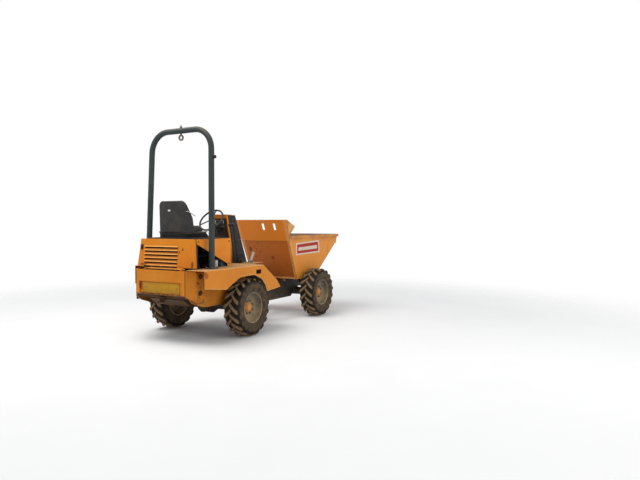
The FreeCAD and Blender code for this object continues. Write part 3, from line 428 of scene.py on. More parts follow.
# Castings are left rougher and browner by their skin and by oil than the plate, which was sprayed.
axle_iron = painted("oily black axle iron", "#1B1A18", "#262320", "#3B2A1E", gloss=0.45, dust=0.4, rust=0.3,
                    mud=(0.15, 0.85), soil="#5E4C37")
black_steel = painted("black machine paint", "#191A1B", "#242423", "#4A3122", gloss=0.4, dust=0.35, rust=0.25,
                      mud=(0.20, 0.80), soil="#665541")
finish_nodes(axle_iron, "rear_axle", "front_axle", "pivot_yoke")
finish_nodes(black_steel, "front_chassis", "tip_ram_barrel", "steer_ram_barrel", "console_cover",
             "steering_column", "control_levers", "pedals")
for axle, body, side in (("rear_axle", "rear_chassis", -1), ("front_axle", "front_chassis", 1)):
    low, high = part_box(axle)
    out = Vector((0, side, 0))
    middle = (low + high) / 2 + out * ((high - low).y / 2 - 0.002)
    parts = [turned(HEAD_COVER, middle, out, 48)]
    for i in range(HEAD_BOLTS):
        a = 2 * math.pi * i / HEAD_BOLTS
        bolt_at = middle + Vector((0.092 * math.cos(a), side * 0.010, 0.092 * math.sin(a)))
        parts.append(hex_head(bolt_at, out, 0.013, 0.008, a))
    parts.append(turned(HEAD_PLUG, middle + out * 0.030, out, 6))
    make_piece(axle + "_cover", parts, axle_iron, body)
parts = []
for side in (1, -1):
    parts += [hex_head(drawn_at(side * 0.205, RAIL_START + 0.0005, z), (0, -1, 0), 0.017, 0.010)
              for z in (0.360, 0.440, 0.530)]
    parts.append(weld(drawn_at(side * 0.238, RAIL_START - 0.0005, RAIL_FOOT + 0.003),
                      drawn_at(side * 0.238, RAIL_START - 0.0005, RAIL_TOP - 0.003)))
    parts.append(weld(drawn_at(side * 0.2505, 1.702, RAIL_TOP), drawn_at(side * 0.2505, 1.758, RAIL_TOP)))
for i in range(ROLL_BOLTS):
    a = 2 * math.pi * (i + 0.5) / ROLL_BOLTS
    parts.append(hex_head(drawn_at(ROLL_RING * math.cos(a), 0.9297, PIVOT_Z + ROLL_RING * math.sin(a)), (0, -1, 0),
                          0.010, 0.006, a))
make_piece("front_chassis_fastenings", parts, dull_steel, "front_chassis")

# Rams: seamless tube barrels with a screwed gland, hard-chromed ground rods, and steel pipe
# stubs brazed on for the oil.
STUB = [(0, 0), (0, 0.012), (0.016, 0.012), (0.016, 0.0085), (0.034, 0.0085), (0.034, 0.011), (0.046, 0.011),
        (0.046, 0)]
TIP_FOOT, TIP_LEAN, TIP_BARREL_R = (0, 1.040, 0.360), math.radians(12.42), 0.034
STEER_FOOT, STEER_BARREL_R = (-0.140, 0.510, PIVOT_Z), 0.020


def chromed():
    """Hard chrome on ground steel: mirror-bright with a film of oil."""
    finish, tree, place = new_finish("hard chrome")
    film = add(tree, "TexNoise", {"Vector": place, "Scale": 1000 / 30, "Detail": 4})
    shade = add(tree, "Mix", {0: film, 6: linear("#C9C9CB"), 7: linear("#B4B2AE")}, 2, data_type="RGBA")
    rough = add(tree, "MapRange", {"Value": film, "To Min": 0.08, "To Max": 0.3})
    return surfaced(finish, {"Base Color": shade, "Roughness": rough, "Metallic": 1.0})


chrome = chromed()
finish_nodes(chrome, "tip_ram_rod", "steer_ram_rod")
along = Vector((0, math.cos(TIP_LEAN), math.sin(TIP_LEAN)))
upward = Vector((0, -along.z, along.y))
parts = [turned(STUB, drawn_at(*TIP_FOOT) + along * reach + upward * TIP_BARREL_R, upward, 12)
         for reach in (0.085, 0.515)]
make_piece("tip_ram_stubs", parts, axle_iron, "tip_ram_barrel")
parts = [turned(STUB, drawn_at(*STEER_FOOT) + Vector((0.001, reach, STEER_BARREL_R)), turns=12)
         for reach in (0.055, 0.215)]
make_piece("steer_ram_stubs", parts, axle_iron, "steer_ram_barrel")

# Rear chassis: welded steel plate sprayed orange, muddy and rusting below the floor. A heavy
# iron casting across its tail is left rough from the sand mould and held by four large bolts.
CAST_SIDE_X = 0.510
HITCH_WELD_Y = -0.888
CRACK_X = 0.409
BRINK_Z = 0.606
FRAME_X = 0.427
FRAME_INNER_X = 0.4295


def rough_cast(finish, grain, depth):
    """Adds the grain of a sand mould to a paint finish."""
    tree, shader = surface_of(finish)
    under = shader.inputs["Normal"].links[0].from_socket
    place = add(tree, "TexCoord", out="Object")
    sand = add(tree, "TexNoise", {"Vector": place, "Scale": 1000 / grain, "Detail": 5, "Roughness": 0.6})
    bump = add(tree, "Bump", {"Height": sand, "Strength": 0.6, "Distance": depth, "Normal": under})
    tree.links.new(bump, shader.inputs["Normal"])
    return finish


def own_axes(tree):
    """Distance from the middle plane, and the three coordinates, in the machine's own axes."""
    own = add(tree, "SeparateXYZ", {0: add(tree, "TexCoord", out="Object")}).node.outputs
    return add(tree, "Math", {0: own["X"]}, operation="ABSOLUTE"), own["X"], own["Y"], own["Z"]


def blotches(tree, size):
    """Uneven patches of about a size in millimetres."""
    place = add(tree, "TexCoord", out="Object")
    return add(tree, "TexNoise", {"Vector": place, "Scale": 1000 / size, "Detail": 8, "Roughness": 0.7})


def shade_and_soot(tree, low="#17110B", high="#4A3420"):
    """Dark mottled colour laid on hidden inner faces: painted shade, with oily dirt caked where nobody wipes."""
    return add(tree, "Mix", {0: blotches(tree, 110), 6: linear(low), 7: linear(high)}, 2, data_type="RGBA")


def laid_over(finish, shade, *masks):
    """Lays a hex colour, or another mixture, over a finish where its masks let it."""
    tree, shader = surface_of(finish)
    coat = shader.inputs["Base Color"].links[0].from_socket
    shade = linear(shade) if isinstance(shade, str) else shade
    mixed = add(tree, "Mix", {0: where(tree, *masks), 6: coat, 7: shade}, 2, data_type="RGBA")
    tree.links.new(mixed, shader.inputs["Base Color"])


def rusted_at(finish, shade, most, *patches):
    """Ragged patches on a finish, each about a drawn point with its half width and half height."""
    tree = finish.node_tree
    for at, wide, tall in patches:
        off = add(tree, "VectorMath", {0: add(tree, "TexCoord", out="Object"), 1: drawn_at(*at)},
                  operation="SUBTRACT")
        off = add(tree, "VectorMath", {0: off, 1: Vector((1 / wide, 1 / wide, 1 / tall))}, operation="MULTIPLY")
        away = add(tree, "VectorMath", {0: off}, "Value", operation="LENGTH")
        ragged = add(tree, "Math", {0: blotches(tree, 35), 1: 2.0, 2: away}, operation="MULTIPLY_ADD")
        laid_over(finish, shade, (ragged, 2.1, 1.8, most))


# One orange for all sprayed sheet: half glossy, faded in clouds and scuffed brown at its edges.
body_orange = painted("orange body paint", "#D07608", "#D9851A", "#5B3018", gloss=0.42, dust=0.22, rust=0.34)
# Rolled safe edges are pale: a painted highlight where they catch the light, with chipped wear.
highlit_edge_orange = painted("orange paint worn pale with a painted highlight at edges", "#E0A050", "#E8B060", "#7A4A24", gloss=0.5, dust=0.3,
                      rust=0.4, chips=0.3)
frame_orange = painted("muddy orange frame paint", "#D07A18", "#D68A2C", "#4F2F1B", gloss=0.45, dust=0.3, rust=0.6,
                       mud=(0.34, 0.90), soil="#7A5A30")
# Over the sand-mould skin the paint is pitted and matt; rust has crept in from below and at the corners.
cast_orange = rough_cast(painted("orange paint on sand-cast iron", "#C87410", "#D0811E", "#4A2A16", gloss=0.5,
                                 dust=0.3, rust=0.62, chips=0.9, mud=(0.50, 0.66), soil="#5A3A20"), 14, 0.0015)
rusty_steel = painted("rusty bare steel", "#4C2F1C", "#5B3A22", "#2C1C13", gloss=0.75, dust=0.45, rust=0.8,
                      mud=(0.30, 0.66), soil="#5E4529")
# Inner faces of the frame plates get painted shade, mottled like oily dirt.
tree = frame_orange.node_tree
laid_over(frame_orange, shade_and_soot(tree), (own_axes(tree)[0], FRAME_INNER_X, FRAME_INNER_X - 0.002, 0.93))
finish_nodes(frame_orange, "rear_frame")
tree = cast_orange.node_tree
half, _, _, high = own_axes(tree)
patches = blotches(tree, 60)
flank = (half, CAST_SIDE_X - 0.015, CAST_SIDE_X - 0.007)
laid_over(cast_orange, "#6E3616", flank, (patches, 0.54, 0.61, 0.8))
# The top of the flank, under the mudguard's top sheet, gets a painted shadow mixed with dark rust.
laid_over(cast_orange, "#2E1A0F", flank, (high, 0.884, 0.905), (patches, 0.40, 0.48, 0.9))
laid_over(cast_orange, "#5A2A10", (half, CRACK_X - 0.007, CRACK_X - 0.002), (half, CRACK_X + 0.007, CRACK_X + 0.002),
          (blotches(tree, 35), 0.34, 0.46, 0.9))
# A pale line along the band's lower edge, carried round the chamfered corner, is a painted highlight; below that edge
# the casting is darker.
past_corner = where(tree, (half, CAST_SIDE_X - 0.110, CAST_SIDE_X, 0.100))
high = add(tree, "Math", {0: high, 1: past_corner}, operation="ADD")
brink = add(tree, "Math", {0: patches, 1: -0.05, 2: high}, operation="MULTIPLY_ADD")
laid_over(cast_orange, "#EDB36A", (high, BRINK_Z + 0.012, BRINK_Z + 0.003), (high, BRINK_Z - 0.012, BRINK_Z - 0.003),
          (half, CAST_SIDE_X - 0.005, CAST_SIDE_X - 0.010, 0.7))
laid_over(cast_orange, "#3A2010", (brink, BRINK_Z - 0.010, BRINK_Z - 0.022, 0.9))
rusted_at(cast_orange, "#8C4014", 0.8, ((-0.335, -0.912, 0.712), 0.035, 0.060))
finish_nodes(cast_orange, "counterweight")
finish_nodes(rusty_steel, "tow_hitch")
parts = [hex_head(drawn_at(side * CAST_SIDE_X, -0.765, z), (side, 0, 0), 0.036, 0.022, z)
         for side in (1, -1) for z in (0.640, 0.845)]
make_piece("casting_bolts", parts, rusty_steel)
parts = [weld(drawn_at(-0.040, -0.8805, z), drawn_at(0.040, -0.8805, z)) for z in (0.526, 0.570)]
parts += [weld(drawn_at(side * 0.0405, HITCH_WELD_Y, 0.514), drawn_at(side * 0.0405, HITCH_WELD_Y, 0.582))
          for side in (1, -1)]
make_piece("hitch_welds", parts, rusty_steel)
parts = []
for side in (1, -1):
    parts.append(weld(drawn_at(side * FRAME_X, -0.866, 0.904), drawn_at(side * FRAME_X, -0.866, 0.565)))
    parts.append(weld(drawn_at(side * FRAME_X, 0.467, 0.405), drawn_at(side * FRAME_X, 0.467, 0.920)))
    parts += [weld(drawn_at(side * 0.148, 0.4805, z), drawn_at(side * 0.011, 0.4805, z)) for z in (0.425, 0.6649)]
make_piece("frame_welds", parts, frame_orange)

# Number plate: blank yellow reflective acrylic, pressed with a raised border, held in the
# recess of the casting by two screws and spotted with dirt.
BORDER = 0.006
SCREW = [(-0.0005, 0), (-0.0005, 0.009), (0.002, 0.008), (0.0035, 0.005), (0.004, 0)]
# Acrylic film over yellow: glossier than the paint, but browned by road dirt.
plate_yellow = painted("yellow reflective acrylic", "#C28C14", "#B07C18", "#4A2E12", gloss=0.35, dust=0.4, rust=0.55,
                       chips=0.4, mud=(0.55, 0.85), soil="#6A4418")
finish_nodes(plate_yellow, "number_plate")
low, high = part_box("number_plate")
face_y = low.y - 0.0002
border = [slab((x0, face_y - 0.0018, z0), (x1, face_y + 0.001, z1), 0.0008)
          for x0, x1, z0, z1 in ((low.x, high.x, low.z, low.z + BORDER), (low.x, high.x, high.z - BORDER, high.z),
                                 (low.x, low.x + BORDER, low.z, high.z), (high.x - BORDER, high.x, low.z, high.z))]
make_piece("plate_border", border, plate_yellow)
parts = [turned(SCREW, (x, face_y, (low.z + high.z) / 2), (0, -1, 0), 20) for x in (low.x + 0.05, high.x - 0.05)]
make_piece("plate_screws", parts, dull_steel)

# Engine: air-cooled three-cylinder diesel of cast iron, sprayed blue-grey and sooty. Each
# barrel has its cooling fins; steel pipes run from the pump to the injectors, and the oil
# filter is a can screwed on its side.
FIN = [(-0.0015, 0.062), (-0.0015, 0.080), (0.0015, 0.080), (0.0015, 0.062)]
FINS = 11
FIN_FOOT, FIN_PITCH = 0.868, 0.013
CYLINDERS = (-0.570, -0.410, -0.250)
ROCKER_LOW, ROCKER_TOP, ROCKER_HALF = 1.119, 1.134, 0.050
INJECTOR_Z = 1.075
CANISTER = [(0, 0), (0, 0.042), (0.006, 0.046), (0.100, 0.046), (0.106, 0.040), (0.110, 0)]
OIL_CAP = [(0, 0), (0, 0.012), (0.030, 0.012), (0.034, 0.017), (0.050, 0.017), (0.054, 0)]
# Sprayed over raw casting and gone matt with soot and oil; only the fins' edges catch light.
engine_iron = rough_cast(painted("sooty blue-grey engine enamel", "#26303A", "#2F3A42", "#2A201A", gloss=0.5,
                                 dust=0.35, rust=0.4, soil="#4F4435"), 9, 0.0008)
finish_nodes(engine_iron, "engine")
parts = [turned(FIN, drawn_at(0, y, FIN_FOOT + i * FIN_PITCH), turns=40) for y in CYLINDERS for i in range(FINS)]
for y in CYLINDERS:
    parts.append(slab(drawn_at(-ROCKER_HALF, y - ROCKER_HALF, ROCKER_LOW),
                      drawn_at(ROCKER_HALF, y + ROCKER_HALF, ROCKER_TOP), 0.006))
    parts.append(hex_head(drawn_at(0, y, ROCKER_TOP), (0, 0, 1), 0.014, 0.010))
    parts.append(hex_head(drawn_at(0.055, y, INJECTOR_Z), (1, 0, 0), 0.024, 0.020))
parts.append(turned(CANISTER, drawn_at(0.182, -0.585, 0.640), (1, 0, -0.2)))
parts.append(turned(OIL_CAP, drawn_at(0.150, -0.200, 0.848), turns=20))
make_piece("engine_fittings", parts, engine_iron)
pipes = []
for i, y in enumerate(CYLINDERS):
    start = drawn_at(0.198, -0.490 + i * 0.055, 0.738)
    end = drawn_at(0.078, y, INJECTOR_Z)
    line = [start, start + Vector((0, 0, 0.06)), start + Vector((0.012, (y + 0.435) * 0.4, 0.16)),
            end + Vector((0.06, 0, -0.02)), end]
    pipes.append(tube(smooth_line(line, 6), 0.0032, 10))
    pipes.append(hex_head(start, (0, 0, 1), 0.015, 0.014))
make_piece("injector_pipes", pipes, dull_steel)

# Oil cooler behind the louvres: a black frame of folded steel round a core of aluminium fins,
# too close together to be drawn at their real pitch of 2 mm, so they stand 5 mm apart.
CORE_LOW, CORE_TOP, CORE_HALF = 0.920, 1.189, 0.378
COOLER_HALF, STAY_X = 0.405, 0.126
COOLER_FINS, COOLER_PITCH = 52, 0.0051
face_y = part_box("radiator")[0].y
core = painted("sooty black cooler paint", "#141414", "#1C1B1A", "#2A2018", gloss=0.6, dust=0.5, rust=0.2,
               soil="#3F362B")
# Bare aluminium furred with dust, so that it shows as a dull grey between the louvres.
cooler_alloy = painted("dusty aluminium cooler fins", "#4A4A48", "#5A564E", "#3A3026", gloss=0.5, dust=0.7, rust=0.1,
                       mud=(0.90, 1.15), soil="#5A4C3A")
finish_nodes(core, "radiator")
parts = [slab((-COOLER_HALF, face_y - 0.007, CORE_TOP - 0.001), (COOLER_HALF, face_y + 0.001, 1.250), 0.003)]
for side in (1, -1):
    edge_x = sorted((side * CORE_HALF, side * COOLER_HALF))
    parts.append(slab((edge_x[0], face_y - 0.006, CORE_LOW), (edge_x[1], face_y + 0.001, CORE_TOP)))
    parts += [hex_head((side * (CORE_HALF + COOLER_HALF) / 2, face_y - 0.0065, z), (0, -1, 0), 0.010, 0.004)
              for z in (0.960, 1.150, 1.236)]
parts += [slab((x - 0.006, face_y - 0.005, CORE_LOW), (x + 0.006, face_y + 0.001, CORE_TOP), 0.001)
          for x in (-STAY_X, STAY_X)]
make_piece("cooler_frame", parts, core)
levels = [CORE_LOW + 0.006 + i * COOLER_PITCH for i in range(COOLER_FINS)]
make_piece("cooler_fins", [slab((-CORE_HALF, face_y - 0.003, z), (CORE_HALF, face_y + 0.001, z + 0.0014), 0.0004)
                           for z in levels], cooler_alloy)

# Filler: white polypropylene cap, screwed on the black neck of the tank beside the engine and
# clipped to the frame by two small brackets.
NECK = drawn_at(0.400, -0.330, 0.800)
NECK_TUBE = [(0, 0), (0, 0.016), (0.125, 0.016), (0.125, 0)]
CAP = [(0.110, 0), (0.110, 0.021), (0.118, 0.025), (0.212, 0.025), (0.220, 0.021), (0.222, 0)]
white_cap = painted("white polypropylene cap", "#D8D4CB", "#CFC8BA", "#7A6A54", gloss=0.4, dust=0.25, rust=0.1)
make_piece("filler_cap", [turned(CAP, NECK, turns=36)], white_cap)
parts = [turned(NECK_TUBE, NECK, turns=24)]
parts += [slab(NECK + Vector((0.005, -0.020, z)), NECK + Vector((0.030, 0.020, z + 0.006)), 0.001)
          for z in (0.030, 0.090)]
make_piece("filler_neck", parts, black_steel)

# Engine cover: one sheet of steel, folded at its edges and pressed with six louvres, hinged
# low down on the casting and held shut by a rubber-handled latch.
LATCH = (-0.419, 1.195)
COVER_FOOT = (-0.830, 0.945)
COVER_TOP = (-0.800, 1.300)
COVER_HALF_LOW, COVER_HALF_TOP = 0.4845, 0.4452
FOLD_R = 0.0045
LIP_PROUD = 0.003
LOUVRE_TOP = 1.205
LOUVRE_PITCH = 0.048


def on_cover(x, z, off=0.0):
    """Point on the outer face of the leaning engine cover."""
    t = (z - COVER_FOOT[1]) / (COVER_TOP[1] - COVER_FOOT[1])
    return drawn_at(x, COVER_FOOT[0] + t * (COVER_TOP[0] - COVER_FOOT[0]) - off, z)


def stood_on(shape, at, out, up=(0, 0, 1)):
    """Small part drawn flat (x across, y up, z out) and set on a face at a point."""
    out = Vector(out).normalized()
    across = Vector(up).cross(out).normalized()
    turn = Matrix((across, out.cross(across), out)).transposed()
    return [turn @ Vector(v) + Vector(at) for v in shape[0]], shape[1]


def moulded(name, colour, worn_colour, grain, rough):
    """Moulded plastic, rubber or vinyl with its pressed grain, paler and dustier where it is handled.
    Real grain is 0.5 to 1 mm wide; it is drawn a few times coarser, since finer would not show."""
    finish, tree, place = new_finish(name)
    cell = add(tree, "TexVoronoi", {"Vector": place, "Scale": 1000 / grain}, feature="SMOOTH_F1")
    film = add(tree, "TexNoise", {"Vector": place, "Scale": 1000 / 90, "Detail": 6})
    up = add(tree, "SeparateXYZ", {0: add(tree, "NewGeometry", out="Normal")}, "Z")
    tone = add(tree, "Math", {0: where(tree, (up, 0.3, 1.0, 0.35)), 1: where(tree, (film, 0.4, 0.75))},
               operation="ADD", use_clamp=True)
    shade = add(tree, "Mix", {0: tone, 6: linear(colour), 7: linear(worn_colour)}, 2, data_type="RGBA")
    dull = add(tree, "MapRange", {"Value": film, "To Min": rough - 0.1, "To Max": rough + 0.15})
    rounded = add(tree, "Bevel", {"Radius": 0.003}, samples=4)
    bump = add(tree, "Bump", {"Height": cell, "Strength": 0.35, "Distance": 0.0006, "Normal": rounded})
    return surfaced(finish, {"Base Color": shade, "Roughness": dull, "Normal": bump, "IOR": 1.5,
                             "Specular IOR Level": 0.35})


# Rubber: matt and soft black, greyed by dust on its upper sides.
black_rubber = moulded("black moulded rubber", "#161615", "#2E2A25", 1.6, 0.6)
lean_out = Vector((0, -(COVER_TOP[1] - COVER_FOOT[1]), COVER_TOP[0] - COVER_FOOT[0])).normalized()
cover_orange = painted("orange paint on pressed steel", "#D07608", "#D9851A", "#5B3018", gloss=0.42, dust=0.22,
                       rust=0.34)
tree = cover_orange.node_tree
_, across, _, high = own_axes(tree)
proud = add(tree, "VectorMath", {0: add(tree, "TexCoord", out="Object"), 1: lean_out}, "Value",
            operation="DOT_PRODUCT")
plane = lean_out.dot(on_cover(0, 1))
turned_to = add(tree, "VectorMath", {0: add(tree, "TexCoord", out="Normal")}, operation="ABSOLUTE")
# Louvre lips standing proud of the cover are pale: a painted highlight, with dust lying on them.
laid_over(cover_orange, "#EFAE52", (proud, plane + LIP_PROUD, plane + LIP_PROUD + 0.002, 0.8))
# The cover's inside, behind its face and away from its folded side edges, gets painted shade, mottled like oily dirt.
laid_over(cover_orange, shade_and_soot(tree), (add(tree, "SeparateXYZ", {0: turned_to}, "X"), 0.60, 0.40),
          (high, 1.2925, 1.2915), (proud, plane - 0.0035, plane - 0.0045, 0.9))
# A band under each louvre lip gets painted shade.
below_top = add(tree, "Math", {0: LOUVRE_TOP, 1: high}, operation="SUBTRACT")
phase = add(tree, "Math", {0: below_top, 1: LOUVRE_PITCH}, operation="MODULO")
laid_over(cover_orange, "#4A200C", (phase, 0.016, 0.019), (phase, 0.031, 0.026),
          (high, LOUVRE_TOP + 0.001, LOUVRE_TOP), (high, 0.920, 0.930), (across, -0.376, -0.370),
          (across, 0.196, 0.190, 0.8))
rusted_at(cover_orange, "#6E3212", 0.85, ((0.270, -0.811, 1.171), 0.014, 0.020),
          ((0.217, -0.814, 1.136), 0.012, 0.014), ((-0.380, -0.830, 0.972), 0.060, 0.014),
          ((0.440, -0.826, 0.985), 0.022, 0.050))
finish_nodes(cover_orange, "engine_cover")
latch = [slab((-0.018, -0.034, -0.001), (0.018, 0.034, 0.004), 0.0015),
         slab((-0.007, -0.030, 0.004), (0.007, 0.016, 0.020), 0.003),
         turned([(0.003, 0), (0.003, 0.012), (0.016, 0.011), (0.022, 0.008), (0.022, 0)], (0, 0.012, 0), turns=20)]
make_piece("cover_latch", [stood_on(part, on_cover(*LATCH), lean_out) for part in latch], black_rubber,
           "engine_cover")
folds = [hex_head(on_cover(x, 0.958), lean_out, 0.011, 0.006) for x in (-0.24, -0.08, 0.08, 0.24)]
folds += [tube([on_cover(side * COVER_HALF_LOW, 0.947, -0.004), on_cover(side * COVER_HALF_TOP, 1.298, -0.004)],
               FOLD_R, 10) for side in (1, -1)]
folds.append(tube([on_cover(side * COVER_HALF_TOP, 1.2985, -0.004) for side in (-1, 1)], FOLD_R, 10))
make_piece("cover_folds", folds, body_orange, "engine_cover")

# Seat deck: folded steel box over the engine, with its side panels cut on the slant so that
# hands reach the engine; a rubber strip seals it against the cover.
SEAL_X, SEAL_Y = 0.438, -0.758
deck_orange = painted("orange deck paint", "#E0800A", "#E6902A", "#5B3018", gloss=0.42, dust=0.3, rust=0.34)
tree = deck_orange.node_tree
half, _, far, high = own_axes(tree)
# The deck's inner faces get painted shade, mottled like oily dirt.
laid_over(deck_orange, shade_and_soot(tree), (half, 0.4435, 0.4430), (high, 1.2985, 1.2980),
          (far, REAR_AXLE_Y - 0.0765, REAR_AXLE_Y - 0.0770, 0.95))
finish_nodes(deck_orange, "seat_deck")
parts = [hex_head(drawn_at(side * 0.445, y, z), (side, 0, 0), 0.013, 0.007)
         for side in (1, -1) for y, z in ((-0.110, 0.965), (-0.110, 1.262), (-0.420, 1.262), (-0.720, 1.270))]
make_piece("deck_bolts", parts, dull_steel)
seal = [drawn_at(x, SEAL_Y, z) for x, z in ((-SEAL_X, 0.96), (-SEAL_X, 1.285), (SEAL_X, 1.285), (SEAL_X, 0.96))]
make_piece("cover_seal", [tube(seal, 0.005, 10)], black_rubber)

# Battery: blue-grey polypropylene case with vent plugs and lead posts, held by a steel strap on
# a folded tray inside the right-hand frame plate.
BATTERY = ((0.232, -0.232, 0.932), (0.400, -0.090, 1.052))
LID = 0.022
VENT = [(-0.002, 0), (-0.002, 0.009), (0.003, 0.009), (0.005, 0.007), (0.005, 0)]
POST = [(-0.001, 0), (-0.001, 0.009), (0.016, 0.008), (0.017, 0.007), (0.017, 0)]
STRAP_X = (0.309, 0.327)
case_blue = moulded("blue-grey polypropylene", "#3D4E5C", "#5A6874", 2.0, 0.45)
(x0, y0, z0), (x1, y1, z1) = BATTERY
parts = [slab(drawn_at(x0, y0, z0), drawn_at(x1, y1, z1 - LID), 0.004),
         slab(drawn_at(x0 - 0.004, y0 - 0.004, z1 - LID - 0.001), drawn_at(x1 + 0.004, y1 + 0.004, z1), 0.005)]
parts += [turned(VENT, drawn_at(x0 + 0.020 + i * 0.026, y0 + 0.050, z1), turns=20) for i in range(6)]
make_piece("battery_case", parts, case_blue)
parts = [slab(drawn_at(x_low, y_low, z_low), drawn_at(x_high, y_high, z_high), 0.001)
         for x_low, x_high, y_low, y_high, z_low, z_high in (
             (0.215, 0.430, y0 - 0.020, y1 + 0.012, 0.9265, 0.9325),
             (*STRAP_X, y0 - 0.012, y0 - 0.007, z0, z1 + 0.004),
             (*STRAP_X, y1 + 0.005, y1 + 0.010, z0, z1 + 0.004),
             (*STRAP_X, y0 - 0.012, y1 + 0.010, z1 + 0.003, z1 + 0.007))]
parts += [turned(POST, drawn_at(x, y1 - 0.030, z1), turns=20) for x in (x0 + 0.025, x1 - 0.025)]
make_piece("battery_tray", parts, dull_steel)

# Mudguards and floor: folded steel sheet with a safe edge rolled round a wire; floor and
# mudguard tops are tread plate, with lozenges rolled into it, and carry the pale dust of boots.
LOZENGE = (0.015, 0.0042, 0.0016)
LOZENGE_PITCH = 0.034
SKIRT_X = 0.7225
SKIRT_EDGE = [(-0.520, 0.673), (-0.400, 0.735), (-0.230, 0.808), (0.080, 0.812), (0.250, 0.745), (0.345, 0.650),
              (0.385, 0.560), (0.716, 0.590)]
GUARD_REAR = {1: (-0.940, 0.720), -1: (-0.650, 0.6876)}
FLOOR_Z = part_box("floor_plate")[1].z
LOCK_PIN = [(-0.014, 0), (-0.014, 0.008), (0.014, 0.008), (0.014, 0)]


def tread(x, y, z, spare=()):
    """Rows of raised lozenges, turned alternately, over a rectangle of tread plate."""
    verts, faces = [], []
    long, wide, tall = LOZENGE
    for i in range(int((x[1] - x[0]) / LOZENGE_PITCH)):
        for j in range(int((y[1] - y[0]) / LOZENGE_PITCH)):
            at = Vector((x[0] + (i + 0.5) * LOZENGE_PITCH, y[0] + (j + 0.5) * LOZENGE_PITCH, z))
            if any(a < at.x < b and c < at.y < d for a, b, c, d in spare):
                continue
            turn = math.pi / 4 * (1 if (i + j) % 2 else -1)
            go = Vector((math.cos(turn), math.sin(turn), 0))
            off = Vector((-go.y, go.x, 0))
            low = len(verts)
            for size, rise in ((1.0, -0.0004), (0.72, tall)):
                verts += [at + (go * long * size * u + off * wide * size * v) + Vector((0, 0, rise))
                          for u, v in ((1, 0), (0, 1), (-1, 0), (0, -1))]
            faces += [(low + k, low + (k + 1) % 4, low + 4 + (k + 1) % 4, low + 4 + k) for k in range(4)]
            faces += [(low + 4, low + 5, low + 6, low + 7), (low + 3, low + 2, low + 1, low)]
    return verts, faces


# Boots keep the lozenges bare of gloss and leave pale dust between them.
tread_orange = painted("worn orange tread plate", "#C97A25", "#D48B38", "#6E5A45", gloss=0.5, dust=0.75, rust=0.4,
                       chips=1.0, soil="#A38B68")
guard_orange = painted("orange mudguard paint", "#CC7408", "#D5821A", "#5B3018", gloss=0.42, dust=0.7, rust=0.42,
                       chips=0.9, soil="#A38B68")
tree = guard_orange.node_tree
half, across, _, high = own_axes(tree)
facing = add(tree, "SeparateXYZ", {0: add(tree, "TexCoord", out="Normal")}).node.outputs
# Faces turned inward or down under the mudguard's top sheet get painted shade, with caked mud.
hidden = where(tree, (where(tree, facing["X"], across), -0.10, -0.20))
for mask in ((facing["Z"], -0.2, -0.3), (half, 0.462, 0.458)):
    hidden = add(tree, "Math", {0: hidden, 1: where(tree, mask)}, operation="MAXIMUM")
laid_over(guard_orange, shade_and_soot(tree, "#20170F", "#5A4530"), hidden, (high, 0.9238, 0.9232, 0.95))
rusted_at(guard_orange, "#8C4012", 0.75, ((0.725, -0.900, 0.866), 0.034, 0.036),
          ((0.725, -0.925, 0.900), 0.020, 0.026))
finish_nodes(guard_orange, "mudguard_right", "mudguard_left")
finish_nodes(tread_orange, "floor_plate")
for side, name in ((1, "right"), (-1, "left")):
    rear_y, rear_z = GUARD_REAR[side]
    edge = [drawn_at(side * SKIRT_X, y, z) for y, z in [(rear_y, rear_z)] + SKIRT_EDGE]
    top = [drawn_at(side * (SKIRT_X + 0.0005), y, z) for y, z in
           ((rear_y + 0.004, FLOOR_Z - 0.003), (0.288, FLOOR_Z - 0.003), (0.625, 0.690), (0.712, 0.593))]
    make_piece("mudguard_edge_" + name, [tube(edge, 0.0042, 10), tube(top, 0.0035, 10)], highlit_edge_orange)
    spare = [(*sorted((side * 0.470, side * 0.614)), REAR_AXLE_Y - 0.657, REAR_AXLE_Y - 0.513)]
    plate = tread(sorted((side * 0.452, side * 0.720)), (REAR_AXLE_Y + rear_y + 0.010, REAR_AXLE_Y + 0.280),
                  FLOOR_Z, spare)
    make_piece("mudguard_tread_" + name, [plate], tread_orange, crease=20)
spare = [(-0.175, 0.175, REAR_AXLE_Y + 0.285, REAR_AXLE_Y + 0.72)]
plate = tread((-0.440, 0.440), (REAR_AXLE_Y - 0.070, REAR_AXLE_Y + 0.700), FLOOR_Z, spare)
make_piece("floor_tread", [plate], tread_orange, crease=20)
parts = [hex_head(drawn_at(side * 0.415, y, FLOOR_Z), (0, 0, 1), 0.013, 0.007)
         for side in (1, -1) for y in (-0.040, 0.300, 0.670)]
low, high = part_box("lock_bar")
parts.append(turned(LOCK_PIN, ((low.x + high.x) / 2, low.y + 0.040, low.z + 0.014), (1, 0, 0), 16))
parts += [slab((x, low.y + 0.005, FLOOR_Z - 0.001), (x + 0.006, low.y + 0.075, FLOOR_Z + 0.034), 0.001)
          for x in (low.x - 0.007, high.x + 0.001)]
make_piece("floor_fastenings", parts, dull_steel)
finish_nodes(painted("dusty white paint", "#B4A68E", "#C2B59E", "#6B5A48", gloss=0.5, dust=0.5), "lock_bar")

